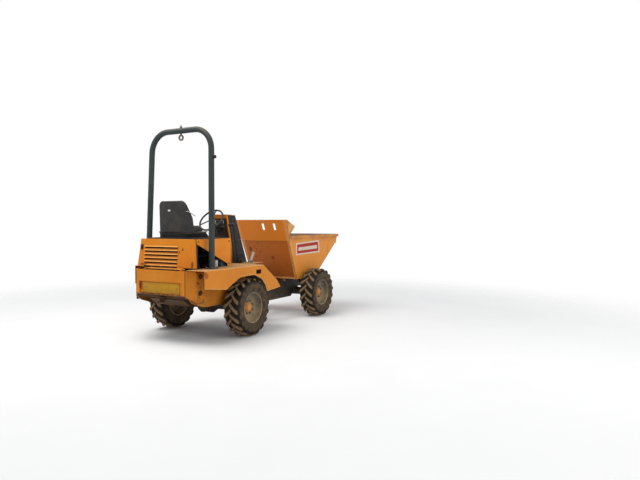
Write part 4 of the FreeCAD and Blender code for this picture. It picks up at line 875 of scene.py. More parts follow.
# Console and dash: a folded orange tower with a black back, screwed together at its flanges.
# The dash is a moulded panel with two clocks, a key switch, warning lamps and push buttons.
DASH_TOP = (0.203, 1.569)
DASH_FOLD = (0.226, 1.428)
DIAL_Z, LAMP_Z, SWITCH_Z = 1.515, 1.540, 1.455
BEZEL = [(-0.001, 0.030), (-0.001, 0.038), (0.005, 0.038), (0.008, 0.035), (0.007, 0.031), (0.003, 0.030)]
DIAL = [(0, 0), (0.0, 0.031), (0.002, 0.031), (0.002, 0)]
LENS = [(0, 0), (0, 0.007), (0.003, 0.0065), (0.006, 0.004), (0.007, 0)]
SWITCH = [(0, 0), (0, 0.013), (0.004, 0.013), (0.007, 0.010), (0.007, 0)]
finish_nodes(body_orange, "console")
finish_nodes(moulded("grained black ABS", "#191A1A", "#2F2C28", 1.8, 0.5), "dash")
dash_out = Vector((0, DASH_FOLD[1] - DASH_TOP[1], -(DASH_FOLD[0] - DASH_TOP[0]))).normalized()
dash_up = Vector((0, DASH_TOP[0] - DASH_FOLD[0], DASH_TOP[1] - DASH_FOLD[1])).normalized()


def on_dash(shape, x, z, spin=0.0):
    """Small part drawn flat, turned by an angle and set on the upper face of the dash panel."""
    t = (DASH_TOP[1] - z) / (DASH_TOP[1] - DASH_FOLD[1])
    at = drawn_at(x, DASH_TOP[0] + t * (DASH_FOLD[0] - DASH_TOP[0]), z)
    turn = Matrix.Rotation(math.radians(spin), 3, "Z")
    return stood_on(([turn @ Vector(v) for v in shape[0]], shape[1]), at, dash_out, dash_up)


bezels, dials, marks = [], [], []
for x, reading in ((-0.070, 60), (0.070, 115)):
    bezels.append(on_dash(turned(BEZEL, turns=48), x, DIAL_Z))
    dials.append(on_dash(turned(DIAL, turns=48), x, DIAL_Z))
    tick = slab((0.022, -0.0006, 0.0018), (0.028, 0.0006, 0.0026), 0.0002)
    needle = slab((-0.004, -0.0008, 0.0028), (0.024, 0.0008, 0.0036), 0.0002)
    marks += [on_dash(tick, x, DIAL_Z, -40 + 26 * i) for i in range(11)] + [on_dash(needle, x, DIAL_Z, reading)]
make_piece("dash_bezels", bezels, chrome)
make_piece("dash_dials", dials, moulded("matt black dial card", "#121212", "#1C1B1A", 4.0, 0.7))
make_piece("dash_marks", marks, white_cap)
for name, x, hue in (("amber", -0.024, "#B86A12"), ("red", 0.0, "#8E1712"), ("green", 0.024, "#1E6B34")):
    lens = painted(name + " acrylic lens", hue, hue, "#3A2A20", gloss=0.15, dust=0.2, rust=0.0)
    make_piece("dash_lamp_" + name, [on_dash(turned(LENS, turns=24), x, LAMP_Z)], lens)
switches = [on_dash(turned(SWITCH, turns=24), x, SWITCH_Z) for x in (-0.095, -0.050, 0.050, 0.095)]
switches += [on_dash(slab((-0.002, -0.011, 0.006), (0.002, 0.011, 0.024), 0.001), x, SWITCH_Z) for x in (-0.095, 0.095)]
make_piece("dash_switches", switches, dull_steel)
parts = [hex_head(drawn_at(side * 0.160, y, z), (side, 0, 0), 0.012, 0.006) for side in (1, -1)
         for y, z in ((0.350, 1.560), (0.345, 1.250), (0.360, 0.990), (0.600, 0.960), (0.480, 1.260))]
make_piece("console_screws", parts, dull_steel)

# Steering wheel and controls: wheel moulded over a steel ring on three flat spokes, column in
# a rubber boot, lever gaiters, and ribbed rubber pads on the pedals.
WHEEL_AT = drawn_at(0.0, 0.065, 1.545)
COLUMN_FOOT = drawn_at(0.0, 0.245, 1.395)
WHEEL_R = 0.180
GRIPS = 48
WHEEL_HUB = [(-0.012, 0), (-0.012, 0.030), (0.0, 0.036), (0.012, 0.036), (0.019, 0.030), (0.023, 0.016), (0.024, 0)]
LEVERS = ((0.205, 0.330), (0.240, 0.360))
LEVER_FOOT_Z, LEVER_TOP_Z = 0.936, 1.480
KNOB_R = 0.0215
PEDAL_LEAN = math.radians(40)
column = (WHEEL_AT - COLUMN_FOOT).normalized()
sideways = Vector((1, 0, 0))
crosswise = column.cross(sideways)
rim_line, rim_sizes = [], []
for i in range(GRIPS * 4):
    a = 2 * math.pi * i / (GRIPS * 4)
    rim_line.append(WHEEL_AT + (sideways * math.cos(a) + crosswise * math.sin(a)) * WHEEL_R)
    rim_sizes.append(0.0125 + 0.0010 * math.cos(GRIPS * a))
parts = [tube(rim_line, rim_sizes, 16, closed=True), turned(WHEEL_HUB, WHEEL_AT, column, 48)]
spoke, spoke_faces = slab((0.025, -0.012, -0.0035), (WHEEL_R - 0.004, 0.012, 0.0035), 0.003)
for a in (90, 210, 330):
    out = sideways * math.cos(math.radians(a)) + crosswise * math.sin(math.radians(a))
    flat = column.cross(out)
    parts.append(([WHEEL_AT + out * v.x + flat * v.y + column * (v.z + 0.006 * math.sin(v.x / WHEEL_R * math.pi))
                   for v in spoke], spoke_faces))
wheel = make_piece("steering_wheel_grip", parts, black_rubber)
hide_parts("steering_wheel")


def bellows(foot, axis, wide, narrow, tall, folds):
    """Rubber gaiter with soft folds that taper up a shaft."""
    profile = [(-0.001, 0.0), (-0.001, wide + 0.004), (0.004, wide + 0.004)]
    for i in range(folds * 4 + 1):
        t = i / (folds * 4)
        r = wide + (narrow - wide) * t
        profile.append((0.005 + t * (tall - 0.005), r + 0.0035 * math.cos(i * math.pi / 2)))
    return turned(profile + [(tall, 0.0)], foot, axis)


gaiters, knobs = [bellows(COLUMN_FOOT + column * 0.004, column, 0.042, 0.027, 0.055, 4)], []
ball = [(-0.032, 0), (-0.032, 0.010), (-0.024, 0.013)]
ball += [(KNOB_R * math.sin(math.radians(t)), KNOB_R * math.cos(math.radians(t))) for t in range(-50, 90, 10)]
for x, y in LEVERS:
    lever_foot, lever_top = drawn_at(x, y, LEVER_FOOT_Z), drawn_at(x + 0.012, y - 0.130, LEVER_TOP_Z)
    way = (lever_top - lever_foot).normalized()
    gaiters.append(bellows(lever_foot + way * 0.008, way, 0.021, 0.011, 0.080, 6))
    knobs.append(turned(ball + [(KNOB_R, 0)], lever_top, way))
make_piece("gaiters", gaiters, black_rubber)
make_piece("lever_knobs", knobs, moulded("glossy black phenolic", "#141414", "#24211F", 5.0, 0.3))
pads = []
pedal_up = Vector((0, math.sin(PEDAL_LEAN), math.cos(PEDAL_LEAN)))
pedal_out = Vector((0, -math.cos(PEDAL_LEAN), math.sin(PEDAL_LEAN)))
for x in (-0.250, 0.290):
    for i in range(6):
        rib_at = drawn_at(x, 0.330, 0.975) + pedal_up * (0.010 + i * 0.018)
        rib = slab((-0.038, -0.004, -0.001), (0.038, 0.004, 0.004), 0.0015)
        pads.append(stood_on(rib, rib_at, pedal_out, pedal_up))
make_piece("pedal_ribs", pads, black_rubber)

# Seat: a shell moulded in black plastic on rubber bellows over its spring, with a cushion and
# a back pad of vinyl sewn over foam; piping hides the seam between top and side panels.
SHELL_HALF = 0.240
SHELL_REAR = -0.705
SHELL_LEAN = math.tan(math.radians(5))
PAN_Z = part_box("seat_cushion")[0].z
SHELL_TOP = PAN_Z + 0.390
WING = 0.135
CORNER_R = 0.062
SHELL_THICK = 0.007
BASE_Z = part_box("seat_base")[0].z + 0.013
FOLD_LEVELS = 24
BASE_HALF = 0.230
HANDLE = ((0.226, -0.690, 1.648), (0.243, -0.682, 1.648), (0.246, -0.640, 1.632), (0.246, -0.560, 1.600),
          (0.240, -0.545, 1.594))
SLIDE_LOOP = ((0.130, -0.330, 0.022), (0.130, -0.275, 0.022), (0.070, -0.262, 0.024), (-0.070, -0.262, 0.024),
              (-0.130, -0.275, 0.022), (-0.130, -0.330, 0.022))
TAG_UP = 0.268
finish_nodes(black_rubber, "seat_base")


def row_across(half, wing, bulge):
    """One level of the seat shell: wing, corner bend, slightly bowed back, bend and wing."""
    bend = 0.030
    pts = [(-half, bend + (wing - bend) * (1 - i / 6)) for i in range(6)]
    pts += [(-half + bend * (1 - math.cos(a)), bend * (1 - math.sin(a))) for a in
            [math.pi / 2 * i / 6 for i in range(6)]]
    flat = half - bend
    pts += [(-flat + 2 * flat * i / 20, -bulge * (1 - (-1 + i / 10) ** 2)) for i in range(21)]
    return pts + [(-x, y) for x, y in pts[11::-1]]


def seat_shell():
    """Bucket of even thickness: grid of levels from the pan up to the rounded top."""
    levels, rows = 36, []
    for i in range(levels + 1):
        z = PAN_Z - 0.010 + (SHELL_TOP - 0.001 - PAN_Z + 0.010) * i / levels
        drop = max(0.0, z - (SHELL_TOP - CORNER_R))
        half = SHELL_HALF - 0.006 - 0.058 * (z - PAN_Z) - (CORNER_R - math.sqrt(CORNER_R ** 2 - drop ** 2))
        wing = WING if z < PAN_Z + 0.170 else max(0.032, WING - 0.50 * (z - PAN_Z - 0.170))
        rows.append([drawn_at(x, SHELL_REAR + 0.012 + y - SHELL_LEAN * (z - PAN_Z), z)
                     for x, y in row_across(half, wing, 0.010)])
    wide = len(rows[0])
    faces = [(r * wide + k, r * wide + k + 1, (r + 1) * wide + k + 1, (r + 1) * wide + k)
             for r in range(levels) for k in range(wide - 1)]
    return [p for row in rows for p in row], faces


def settled(piece):
    """Piece with its modifiers worked into its mesh."""
    graph = bpy.context.evaluated_depsgraph_get()
    mesh = bpy.data.meshes.new_from_object(piece.evaluated_get(graph), depsgraph=graph)
    piece.modifiers.clear()
    old = piece.data
    piece.data = mesh
    bpy.data.meshes.remove(old)
    return piece


def fold_loop(half_x, y, z, bend=0.035):
    """Rounded rectangle of points: one level of the rubber bellows."""
    loop = []
    for cx, cy, start in ((half_x - bend, y[1] - bend, 0), (-half_x + bend, y[1] - bend, 90),
                          (-half_x + bend, y[0] + bend, 180), (half_x - bend, y[0] + bend, 270)):
        for k in range(7):
            a = math.radians(start + 15 * k)
            loop.append(drawn_at(cx + bend * math.cos(a), cy + bend * math.sin(a), z))
    return loop


# Polypropylene from a grained mould: satin black that weather and sleeves have greyed.
seat_plastic = moulded("grained black polypropylene", "#24211F", "#3B3631", 2.2, 0.55)
shell = make_piece("seat_bucket", [seat_shell()], seat_plastic, crease=50)
skin = shell.modifiers.new("skin", "SOLIDIFY")
skin.thickness = SHELL_THICK
skin.offset = 0.0
skin.use_even_offset = True
settled(shell)
pan = slab(drawn_at(-SHELL_HALF, SHELL_REAR + 0.004, PAN_Z - 0.015), drawn_at(SHELL_HALF, -0.300, PAN_Z - 0.0005),
           0.005)
make_piece("seat_pan", [pan], seat_plastic)
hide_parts("seat_shell")
parts = [slab(drawn_at(side * 0.224 - 0.006, -0.690, PAN_Z - 0.030),
              drawn_at(side * 0.224 + 0.006, -0.320, PAN_Z - 0.0145)) for side in (1, -1)]
parts.append(tube(smooth_line([drawn_at(x, y, PAN_Z - down) for x, y, down in SLIDE_LOOP], 6), 0.005, 10))
make_piece("seat_slides", parts, dull_steel)
make_piece("seat_handle", [tube(smooth_line([drawn_at(*at) for at in HANDLE], 5), 0.006)], chrome)
tag = slab((-0.022, -0.011, 0.0), (0.022, 0.011, 0.0022), 0.0008)
tag_at = drawn_at(-0.026, SHELL_REAR - 0.0012 - SHELL_LEAN * TAG_UP, PAN_Z + TAG_UP)
make_piece("seat_tag", [stood_on(tag, tag_at, (0, -1, -SHELL_LEAN))], white_cap)
loops = []
for i in range(FOLD_LEVELS + 1):
    t = i / FOLD_LEVELS
    swell = 0.007 * math.sin(t * 8 * math.pi)
    loops.append(fold_loop(BASE_HALF + swell, (-0.700 - swell, -0.250 - 0.062 * t + swell),
                           BASE_Z + (PAN_Z - 0.015 - BASE_Z) * t))
count = len(loops[0])
faces = [(r * count + k, r * count + (k + 1) % count, (r + 1) * count + (k + 1) % count, (r + 1) * count + k)
         for r in range(FOLD_LEVELS) for k in range(count)]
faces += [tuple(range(count)), tuple(range(FOLD_LEVELS * count, (FOLD_LEVELS + 1) * count))]
make_piece("seat_bellows", [([p for loop in loops for p in loop], faces)], black_rubber, crease=60)

# Seat pads: vinyl cut in panels, sewn with channels over moulded foam, closed round the edge by
# a corded seam. The foam swells the vinyl between its stitch lines; the underside lies flat.
CLOTH_FRAMES = 20
SWELL_LIMIT = 0.024
VOXEL = 0.006
CHANNEL_DEEP = 0.0055
CHANNEL_WIDE = 0.0060
CORD_R = 0.0032
STITCH = 0.0065
BACK_HALF, BACK_TALL = (0.196, 0.130), 0.052
BACK_LEAN = math.radians(5)
BACK_AT = (-0.70226, 1.61608)


def sewn_vinyl():
    """Calendered black vinyl: leather-like grain, a soft sheen, dust in the low places."""
    finish = moulded("grained black seat vinyl", "#1B1A19", "#322E29", 2.4, 0.48)
    tree, shader = surface_of(finish)
    shader.inputs["Coat Weight"].default_value = 0.12
    shader.inputs["Coat Roughness"].default_value = 0.35
    under = shader.inputs["Normal"].links[0].from_socket
    place = add(tree, "TexCoord", out="Object")
    crease = add(tree, "TexNoise", {"Vector": place, "Scale": 1000 / 45, "Detail": 3, "Distortion": 1.2})
    bump = add(tree, "Bump", {"Height": crease, "Strength": 0.35, "Distance": 0.003, "Normal": under})
    tree.links.new(bump, shader.inputs["Normal"])
    return finish


def foam_block(name, half_x, half_y, tall):
    """Rounded block with a raised crown and pulled-in sides, cut into small even squares."""
    block = bmesh.new()
    bmesh.ops.create_cube(block, size=1.0)
    bmesh.ops.subdivide_edges(block, edges=block.edges[:], cuts=9, use_grid_fill=True)
    for v in block.verts:
        u, w, t = v.co.x * 2, v.co.y * 2, v.co.z + 0.5
        crown = 1 - 0.30 * max(abs(u), abs(w)) ** 4 if t > 0.5 else 1
        v.co = Vector((u * (half_x - 0.012) * (1 - 0.05 * w * w), w * (half_y - 0.012) * (1 - 0.05 * u * u),
                       0.001 + (tall - 0.018) * t * crown))
    mesh = bpy.data.meshes.new(name)
    block.to_mesh(mesh)
    block.free()
    piece = bpy.data.objects.new(name, mesh)
    bpy.context.scene.collection.objects.link(piece)
    skin = piece.modifiers.new("skin", "REMESH")
    skin.mode = "VOXEL"
    skin.voxel_size = VOXEL
    return settled(piece)


def swelled(piece):
    """Foam pushes the vinyl out: cloth under pressure, held back where it has moved too far."""
    start = [v.co.copy() for v in piece.data.vertices]
    cloth = piece.modifiers.new("vinyl", "CLOTH")
    cloth.settings.quality = 6
    cloth.settings.mass = 0.3
    cloth.settings.use_pressure = True
    cloth.settings.uniform_pressure_force = 4.0
    cloth.settings.effector_weights.gravity = 0.0
    cloth.point_cache.frame_end = CLOTH_FRAMES
    for step in range(1, CLOTH_FRAMES + 1):
        bpy.context.scene.frame_set(step)
    settled(piece)
    bpy.context.scene.frame_set(1)
    for v, at in zip(piece.data.vertices, start):
        move = v.co - at
        v.co = at + move * min(1.0, SWELL_LIMIT / max(move.length, 1e-6))


def sewn_pad(name, node, half_x, half_y, tall, place, channels):
    """Pad drawn with its underside on z = 0, then set in place: channels run along x at each y."""
    piece = foam_block(name, half_x, half_y, tall)
    swelled(piece)
    for v in piece.data.vertices:
        v.co = Vector((max(-half_x, min(half_x, v.co.x)), max(-half_y, min(half_y, v.co.y)),
                       max(0.0008, min(tall, v.co.z))))
    finer = piece.modifiers.new("finer", "SUBSURF")
    finer.levels = finer.render_levels = 1
    settled(piece)
    reach = half_x - 0.040
    for v in piece.data.vertices:
        inside = min(1.0, (1.0 - abs(v.co.x) / reach) * 6)
        if v.co.z > tall * 0.45 and inside > 0:
            v.co.z -= CHANNEL_DEEP * inside * max(math.exp(-((v.co.y - y) / CHANNEL_WIDE) ** 2) for y in channels)
    skin = BVHTree.FromPolygons([v.co.copy() for v in piece.data.vertices], [f.vertices for f in piece.data.polygons])
    bend, out_by, line, seam, thread = 0.045, 0.020, [], [], []
    for quarter, (sx, sy) in enumerate(((1, 1), (-1, 1), (-1, -1), (1, -1))):
        for k in range(9):
            a = math.radians(90 * quarter + 90 * k / 8)
            line.append(Vector((sx * (half_x - bend) + (bend + out_by) * math.cos(a),
                                sy * (half_y - bend) + (bend + out_by) * math.sin(a), tall * 0.66)))
    for a, b in zip(line, line[1:] + line[:1]):
        count = max(1, round((b - a).length / STITCH))
        for i in range(count):
            at, out, _, _ = skin.find_nearest(a.lerp(b, i / count))
            seam.append(at + out * 0.0012)
    for a, b in zip(seam, seam[1:] + seam[:1]):
        beside = Vector((-a.x, -a.y, 0)).normalized() * 0.004 + Vector((0, 0, 0.0065))
        near, far = (skin.find_nearest(a.lerp(b, t) + beside) for t in (0.2, 0.75))
        thread.append([near[0], (near[0] + far[0]) / 2 + near[1] * 0.0011, far[0]])
    for y in channels:
        count = int(2 * (reach - 0.012) / STITCH)
        for i in range(count):
            x = (reach - 0.012) * (2 * (i + 0.5) / count - 1)
            near, far = (skin.ray_cast(Vector((x + shift, y, tall * 2)), Vector((0, 0, -1)))[0]
                         for shift in (-STITCH * 0.35, STITCH * 0.35))
            thread.append([near, (near + far) / 2 + Vector((0, 0, 0.0010)), far])
    for shape, finish, part in ((tube(seam, CORD_R, 8, closed=True), vinyl, "_piping"),
                                (gather([tube(stitch, 0.0007, 6) for stitch in thread]), thread_grey, "_stitches")):
        make_piece(name + part, [([place @ p for p in shape[0]], shape[1])], finish)
    for v in piece.data.vertices:
        v.co = place @ v.co
    piece.data.materials.clear()
    piece.data.materials.append(vinyl)
    piece.data.shade_smooth()
    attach(piece, "rear_chassis")
    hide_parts(node)


vinyl = sewn_vinyl()
# Nylon thread: pale enough to read as dashes on the black vinyl, with hardly any gloss.
thread_grey = moulded("bonded grey nylon thread", "#3A3835", "#4C4842", 1.0, 0.6)
low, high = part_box("seat_cushion")
middle = (low + high) / 2
sewn_pad("cushion_pad", "seat_cushion", (high.x - low.x) / 2, (high.y - low.y) / 2, high.z - low.z,
         Matrix.Translation((middle.x, middle.y, low.z)), (-0.090, 0.0, 0.090))
back_set = Matrix(((-1, 0, 0, 0), (0, -math.sin(BACK_LEAN), math.cos(BACK_LEAN), BACK_AT[0] + REAR_AXLE_Y),
                   (0, math.cos(BACK_LEAN), math.sin(BACK_LEAN), BACK_AT[1]), (0, 0, 0, 1)))
sewn_pad("back_pad", "seat_back_pad", *BACK_HALF, BACK_TALL, back_set, (-0.052, 0.014))

# Roll-over hoop: steel tube bent to shape and powder-coated slate grey, welded to foot plates
# that are bolted down through the mudguards. The eye in its crossbar is left bare.
HOOP_FOOT = (0.542, -0.585, 0.942)
HOOP_R = 0.0375
HOOP_BOLT = 0.046
BEAD_STEPS = 60
STUD = [(0, 0), (0, 0.006), (0.018, 0.006), (0.019, 0.005), (0.019, 0)]
KNOB = [(0.034, 0), (0.034, 0.012), (0.050, 0.012), (0.050, 0.019), (0.053, 0.022), (0.064, 0.022), (0.068, 0.018),
        (0.068, 0)]
# Powder coat: even and satin, with little rust and a film of dust.
hoop_grey = painted("slate grey powder coat", "#2B3535", "#364040", "#4A382B", gloss=0.5, dust=0.35, rust=0.15,
                    chips=0.4)
finish_nodes(hoop_grey, "hoop")
finish_nodes(dull_steel, "lifting_eye")
beads, bolts = [], []
for side in (1, -1):
    foot = drawn_at(side * HOOP_FOOT[0], *HOOP_FOOT[1:])
    turns = [2 * math.pi * i / BEAD_STEPS for i in range(BEAD_STEPS)]
    ring = [foot + Vector((math.cos(a), math.sin(a), 0)) * (HOOP_R + 0.001) for a in turns]
    beads.append(tube(ring, [0.0042 + 0.0008 * (i % 2) for i in range(BEAD_STEPS)], 8, closed=True))
    for x, y in ((-HOOP_BOLT, -HOOP_BOLT), (-HOOP_BOLT, HOOP_BOLT), (HOOP_BOLT, -HOOP_BOLT), (HOOP_BOLT, HOOP_BOLT)):
        bolts.append(hex_head(foot + Vector((x, y, 0)), (0, 0, 1), 0.019, 0.012, x + y))
        bolts.append(turned(STUD, foot + Vector((x, y, 0)), turns=12))
make_piece("hoop_welds", beads, hoop_grey)
make_piece("hoop_bolts", bolts, dull_steel)
make_piece("hoop_knob", [turned(KNOB, drawn_at(0.509, -0.541, 2.335), (1, 0, 0))], black_rubber)

# Skip: flat plates welded into a bucket, flanged by a bar at the rim and a spill guard behind.
# Rubble has scoured the inside to rusty steel; outside, the orange is worn, and rust runs down.
BUCKET_FOOT = (0.440, 1.665, 0.600)
FLARE = (0.150, 0.095)
BACK_RAKE = 0.4325
SLOPE_FOOT = (2.110, 0.600)
SLOPE_TOP = (2.610, 1.150)
LIP_TOP = (2.690, 1.316)
SKIN = 0.003
FOLD_Z = 1.220
SKIP_HINGE = (2.100, 0.540)
HINGE_CAP = [(0.274, 0), (0.274, 0.026), (0.282, 0.026), (0.284, 0.024), (0.284, 0)]
DARK_RUST, RUN_RUST, RED_RUST = "#331409", "#4A1E0C", "#7A2A10"


def bucket_wear(finish):
    """Wear told by depth under the bucket's outer planes: bare rusty steel inside, corners rubbed pale with a
    painted highlight, a brighter guard above the fold, and rust run down the back plate."""
    tree, shader = surface_of(finish)
    dull = shader.inputs["Roughness"].links[0].from_socket
    place = add(tree, "TexCoord", out="Object")
    half, across, far, high = own_axes(tree)
    at = add(tree, "CombineXYZ", {0: half, 1: far, 2: high})
    slope = Vector((0, SLOPE_TOP[1] - SLOPE_FOOT[1], SLOPE_FOOT[0] - SLOPE_TOP[0]))
    front = Vector((0, LIP_TOP[1] - SLOPE_TOP[1], SLOPE_TOP[0] - LIP_TOP[0]))
    planes = [(Vector((1, -FLARE[0], -FLARE[1])), BUCKET_FOOT), (Vector((0, -1, -BACK_RAKE)), (0, *BUCKET_FOOT[1:])),
              (Vector((0, 0, -1)), BUCKET_FOOT), (slope, (0, *SLOPE_FOOT)), (front, (0, *SLOPE_TOP))]
    heights, depth = [], None
    for out, point in planes:
        out.normalize()
        above = add(tree, "VectorMath", {0: at, 1: out}, "Value", operation="DOT_PRODUCT")
        above = add(tree, "Math", {0: above, 1: out.dot(drawn_at(*point))}, operation="SUBTRACT")
        heights.append(above)
        depth = above if depth is None else add(tree, "Math", {0: depth, 1: above}, operation="MAXIMUM")
    side_h, back_h, floor_h = heights[:3]
    blot = add(tree, "TexNoise", {"Vector": place, "Scale": 1000 / 260, "Detail": 8, "Roughness": 0.65})
    grit = add(tree, "TexNoise", {"Vector": place, "Scale": 1000 / 30, "Detail": 6})
    normal = add(tree, "TexCoord", out="Normal")
    faces_back = where(tree, (add(tree, "SeparateXYZ", {0: normal}, "Y"), -0.5, -0.6))
    low_back = where(tree, faces_back, (high, FOLD_Z + 0.002, FOLD_Z - 0.002))
    laid_over(finish, "#DC7A14", faces_back, (high, FOLD_Z, FOLD_Z + 0.004, 0.85))
    # Below the fold the back plate is darker, and darker still towards its foot.
    laid_over(finish, "#B2540E", low_back, 0.80)
    laid_over(finish, "#7A3A12", low_back, (high, 1.05, 0.62, 0.55))
    down = add(tree, "Mapping", {"Vector": place, "Scale": (1.0, 1.0, 0.10)})
    runs = add(tree, "TexNoise", {"Vector": down, "Scale": 1000 / 45, "Detail": 6})
    runs = add(tree, "Math", {0: runs, 1: where(tree, (across, 0.05, -0.40, 0.09))}, operation="ADD")
    laid_over(finish, "#4A2010", low_back, (runs, 0.62, 0.78, 0.6))
    for *patch, rust in (((-0.326, 1.459, 1.077), 0.030, 0.045, DARK_RUST),
                         ((-0.213, 1.458, 1.080), 0.010, 0.070, RUN_RUST),
                         ((-0.250, 1.510, 0.958), 0.010, 0.060, RUN_RUST),
                         ((0.074, 1.519, 0.938), 0.030, 0.036, RED_RUST),
                         ((-0.430, 1.539, 0.892), 0.024, 0.050, RUN_RUST)):
        rusted_at(finish, rust, 0.7, patch)
    # Faces turned sideways are tinted pale yellow above about 1.33 m.
    turned_to = add(tree, "VectorMath", {0: normal}, operation="ABSOLUTE")
    laid_over(finish, "#E8B266", (add(tree, "SeparateXYZ", {0: turned_to}, "X"), 0.88, 0.94),
              (high, 1.325, 1.350, 0.75))
    # Pale strips along the corners: rubbed paint, and a painted highlight along the edges.
    for out_h, other_h, wide, much in ((side_h, back_h, 0.034, 0.75), (floor_h, back_h, 0.022, 0.8),
                                       (side_h, floor_h, 0.018, 0.6)):
        laid_over(finish, "#DFA05C", (out_h, -wide - 0.012, -wide), (other_h, -wide - 0.012, -wide),
                  (grit, 0.34, 0.48, much))
    not_back = add(tree, "Math", {0: 1.0, 1: faces_back}, operation="SUBTRACT")
    laid_over(finish, "#9C7048", not_back, (high, 1.18, 1.30), (blot, 0.36, 0.60, 0.8))
    laid_over(finish, "#DE8A26", not_back, (high, 1.10, 0.95, 0.5))
    scrape = add(tree, "Mapping", {"Vector": place, "Scale": (1.0, 0.12, 0.12)})
    scrape = add(tree, "TexNoise", {"Vector": scrape, "Scale": 1000 / 14, "Detail": 6})
    steel = add(tree, "Mix", {0: scrape, 6: linear("#4A3325"), 7: linear("#8A7B6B")}, 2, data_type="RGBA")
    silt = where(tree, (where(tree, (high, 1.05, 0.60), blot), 0.25, 0.50))
    for mask, shade in ((where(tree, (blot, 0.52, 0.60)), "#8F5220"), (silt, "#6F5B42")):
        steel = add(tree, "Mix", {0: mask, 6: steel, 7: linear(shade)}, 2, data_type="RGBA")
    inside = where(tree, (depth, -SKIN, -SKIN - 0.001))
    laid_over(finish, steel, inside)
    rough = add(tree, "Math", {0: where(tree, inside, 0.85), 1: dull}, operation="MAXIMUM")
    tree.links.new(rough, shader.inputs["Roughness"])
    return finish


def side_at(y, z, side, off=0.0):
    """Point on the outer face of a side wall."""
    out = Vector((side, -FLARE[0], -FLARE[1])).normalized()
    x = BUCKET_FOOT[0] + FLARE[0] * (y - BUCKET_FOOT[1]) + FLARE[1] * (z - BUCKET_FOOT[2])
    return drawn_at(side * x, y, z) + out * off


def back_at(z):
    """Distance of the back plate from the rear axle at a height."""
    return BUCKET_FOOT[1] - BACK_RAKE * (z - BUCKET_FOOT[2])


skip_paint = bucket_wear(painted("worn orange skip paint", "#E08E38", "#E69A4A", "#5A3218", gloss=0.45, dust=0.35,
                                 rust=0.55, chips=0.9, mud=(0.45, 0.72), soil="#8A6238"))
finish_nodes(skip_paint, "skip")
parts = []
for side in (1, -1):
    parts.append(weld(side_at(back_at(0.604), 0.604, side, 0.0005), side_at(back_at(1.214), 1.214, side, 0.0005)))
    parts.append(weld(side_at(1.675, 0.6005, side), side_at(2.105, 0.6005, side)))
    parts.append(weld(side_at(2.115, 0.605, side, 0.0005), side_at(2.600, 1.139, side, 0.0005)))
    parts.append(weld(drawn_at(side * 0.2705, 2.030, 0.5985), drawn_at(side * 0.2705, 2.145, 0.5985)))
for half, y, z in ((0.438, 1.6655, 0.5995), (0.480, back_at(FOLD_Z - 0.0015) - 0.002, FOLD_Z - 0.0015)):
    parts.append(weld(drawn_at(-half, y, z), drawn_at(half, y, z)))
make_piece("skip_welds", parts, skip_paint, "skip")
parts = []
for side in (1, -1):
    parts.append(turned(HINGE_CAP, drawn_at(0, *SKIP_HINGE), (side, 0, 0)))
    parts.append(hex_head(drawn_at(side * HINGE_CAP[-1][0], *SKIP_HINGE), (side, 0, 0), 0.017, 0.010))
make_piece("hinge_pin_caps", parts, dull_steel, "front_chassis")

# Sticker: red and white vinyl film in three layers, blank, stuck on the right-hand side wall
# and gone chalky with dust; its corners are given as distance from the rear axle and height.
STICKER_TOP = ((1.564, 1.181), (2.155, 1.219))
STICKER_LOW = ((1.590, 0.986), (2.201, 1.014))
FILM = 0.0006


def sticker_patch(name, u, v, off, finish):
    """Sheet of film between fractions of the sticker's width and height."""
    verts = []
    for lift in (off, off - FILM):
        for s, t in ((u[0], v[0]), (u[1], v[0]), (u[1], v[1]), (u[0], v[1])):
            y_top, z_top = (a + (b - a) * s for a, b in zip(*STICKER_TOP))
            y_low, z_low = (a + (b - a) * s for a, b in zip(*STICKER_LOW))
            verts.append(side_at(y_top + (y_low - y_top) * t, z_top + (z_low - z_top) * t, 1, lift))
    faces = [(0, 1, 2, 3), (7, 6, 5, 4)] + [(k, (k + 1) % 4, (k + 1) % 4 + 4, k + 4) for k in range(4)]
    make_piece(name, [(verts, faces)], finish, "skip")


film_white = painted("white vinyl film", "#E0D2C0", "#D6C2AA", "#A07A52", gloss=0.35, dust=0.3, rust=0.3)
film_red = painted("red vinyl film", "#B4221E", "#A83028", "#8A5A40", gloss=0.35, dust=0.3, rust=0.3)
sticker_patch("sticker_border", (0, 1), (0, 1), 0.0010, film_white)
sticker_patch("sticker_field", (0.045, 0.955), (0.12, 0.88), 0.0014, film_red)
sticker_patch("sticker_stripe", (0.10, 0.90), (0.38, 0.66), 0.0018, film_white)

# Studio: a pale floor that fades into white, soft lamps overhead, and the camera where the
# photographer stood, behind the right rear wheel at eye height.
FLOOR_RINGS = (2.0, 5.0, 10.0, 20.0, 30.0)
FLOOR_TURNS = 64
CAMERA_AT = (5.087, -6.953, 1.501)
CAMERA_TURN = (math.radians(90 - 1.72), 0.0, math.radians(28.6))
FOCAL_PX = 559
FRAME_PX = 640
LAMPS = (("overhead", (-1.5, -2.5, 7.0), 5.0, 420), ("right_fill", (6.5, -1.0, 3.5), 3.5, 90))
LAMPS_AIM = Vector((0, 0, 0.85))


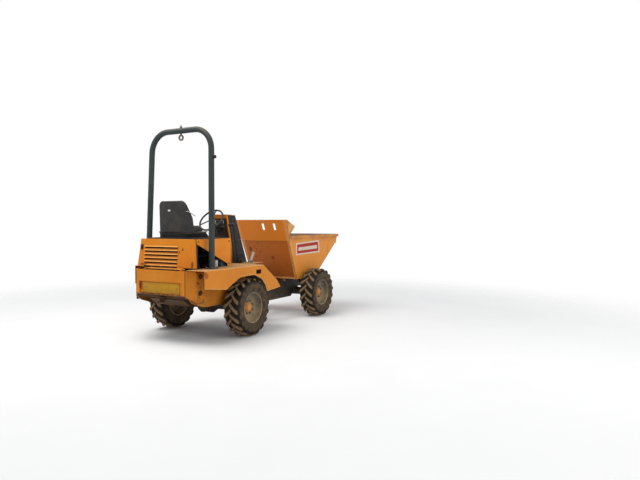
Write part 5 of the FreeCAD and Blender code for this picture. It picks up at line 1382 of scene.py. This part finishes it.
def studio_floor():
    """Pale matt floor that clears to the white backdrop away from the machine."""
    finish, tree, place = new_finish("pale floor")
    grain = add(tree, "TexNoise", {"Vector": place, "Scale": 1.5, "Detail": 5})
    shade = add(tree, "Mix", {0: grain, 6: linear("#DFDDDA"), 7: linear("#E6E4E1")}, 2, data_type="RGBA")
    matt = add(tree, "BsdfPrincipled", {"Base Color": shade, "Roughness": 0.85, "IOR": 1.5})
    away = add(tree, "VectorMath", {0: place}, "Value", operation="LENGTH")
    fade = add(tree, "MapRange", {"Value": away, "From Min": 2.6, "From Max": 8.0}, interpolation_type="SMOOTHSTEP")
    both = add(tree, "MixShader", {0: fade, 1: matt, 2: add(tree, "BsdfTransparent")})
    add(tree, "OutputMaterial", {"Surface": both})
    return finish


turns = [2 * math.pi * i / FLOOR_TURNS for i in range(FLOOR_TURNS)]
verts = [Vector((0, 0, 0))] + [Vector((r * math.cos(a), r * math.sin(a), 0)) for r in FLOOR_RINGS for a in turns]
faces = [(0, 1 + i, 1 + (i + 1) % FLOOR_TURNS) for i in range(FLOOR_TURNS)]
for ring in range(len(FLOOR_RINGS) - 1):
    near, far = 1 + ring * FLOOR_TURNS, 1 + (ring + 1) * FLOOR_TURNS
    faces += [(near + i, far + i, far + (i + 1) % FLOOR_TURNS, near + (i + 1) % FLOOR_TURNS)
              for i in range(FLOOR_TURNS)]
floor_mesh = bpy.data.meshes.new("studio_floor")
floor_mesh.from_pydata(verts, [], faces)
floor_mesh.materials.append(studio_floor())
floor = bpy.data.objects.new("studio_floor", floor_mesh)
floor.location.z = cad_box[0][2] - 0.0005
bpy.context.scene.collection.objects.link(floor)

world = bpy.data.worlds.new("studio")
world.use_nodes = True
bpy.context.scene.world = world
sky = world.node_tree
sky.nodes.clear()
seen = add(sky, "LightPath", out="Is Camera Ray")
for ray in ("Is Glossy Ray", "Is Transmission Ray"):
    seen = add(sky, "Math", {0: seen, 1: add(sky, "LightPath", out=ray)}, operation="MAXIMUM")
fill = add(sky, "Background", {"Color": linear("#EEF3FA"), "Strength": 0.75})
white = add(sky, "Background", {"Color": (1, 1, 1, 1), "Strength": 1.0})
add(sky, "OutputWorld", {"Surface": add(sky, "MixShader", {0: seen, 1: fill, 2: white})})
for name, at, across, watts in LAMPS:
    lamp = bpy.data.lights.new(name, "AREA")
    lamp.shape = "DISK"
    lamp.size = across
    lamp.energy = watts
    holder = bpy.data.objects.new(name, lamp)
    holder.location = at
    holder.rotation_euler = (LAMPS_AIM - Vector(at)).to_track_quat("-Z", "Y").to_euler()
    bpy.context.scene.collection.objects.link(holder)

camera = bpy.data.cameras.new("camera")
camera.lens = camera.sensor_width * FOCAL_PX / FRAME_PX
viewer = bpy.data.objects.new("camera", camera)
viewer.location = CAMERA_AT
viewer.rotation_euler = CAMERA_TURN
bpy.context.scene.collection.objects.link(viewer)
bpy.context.scene.camera = viewer
bpy.context.scene.view_settings.view_transform = "Standard"
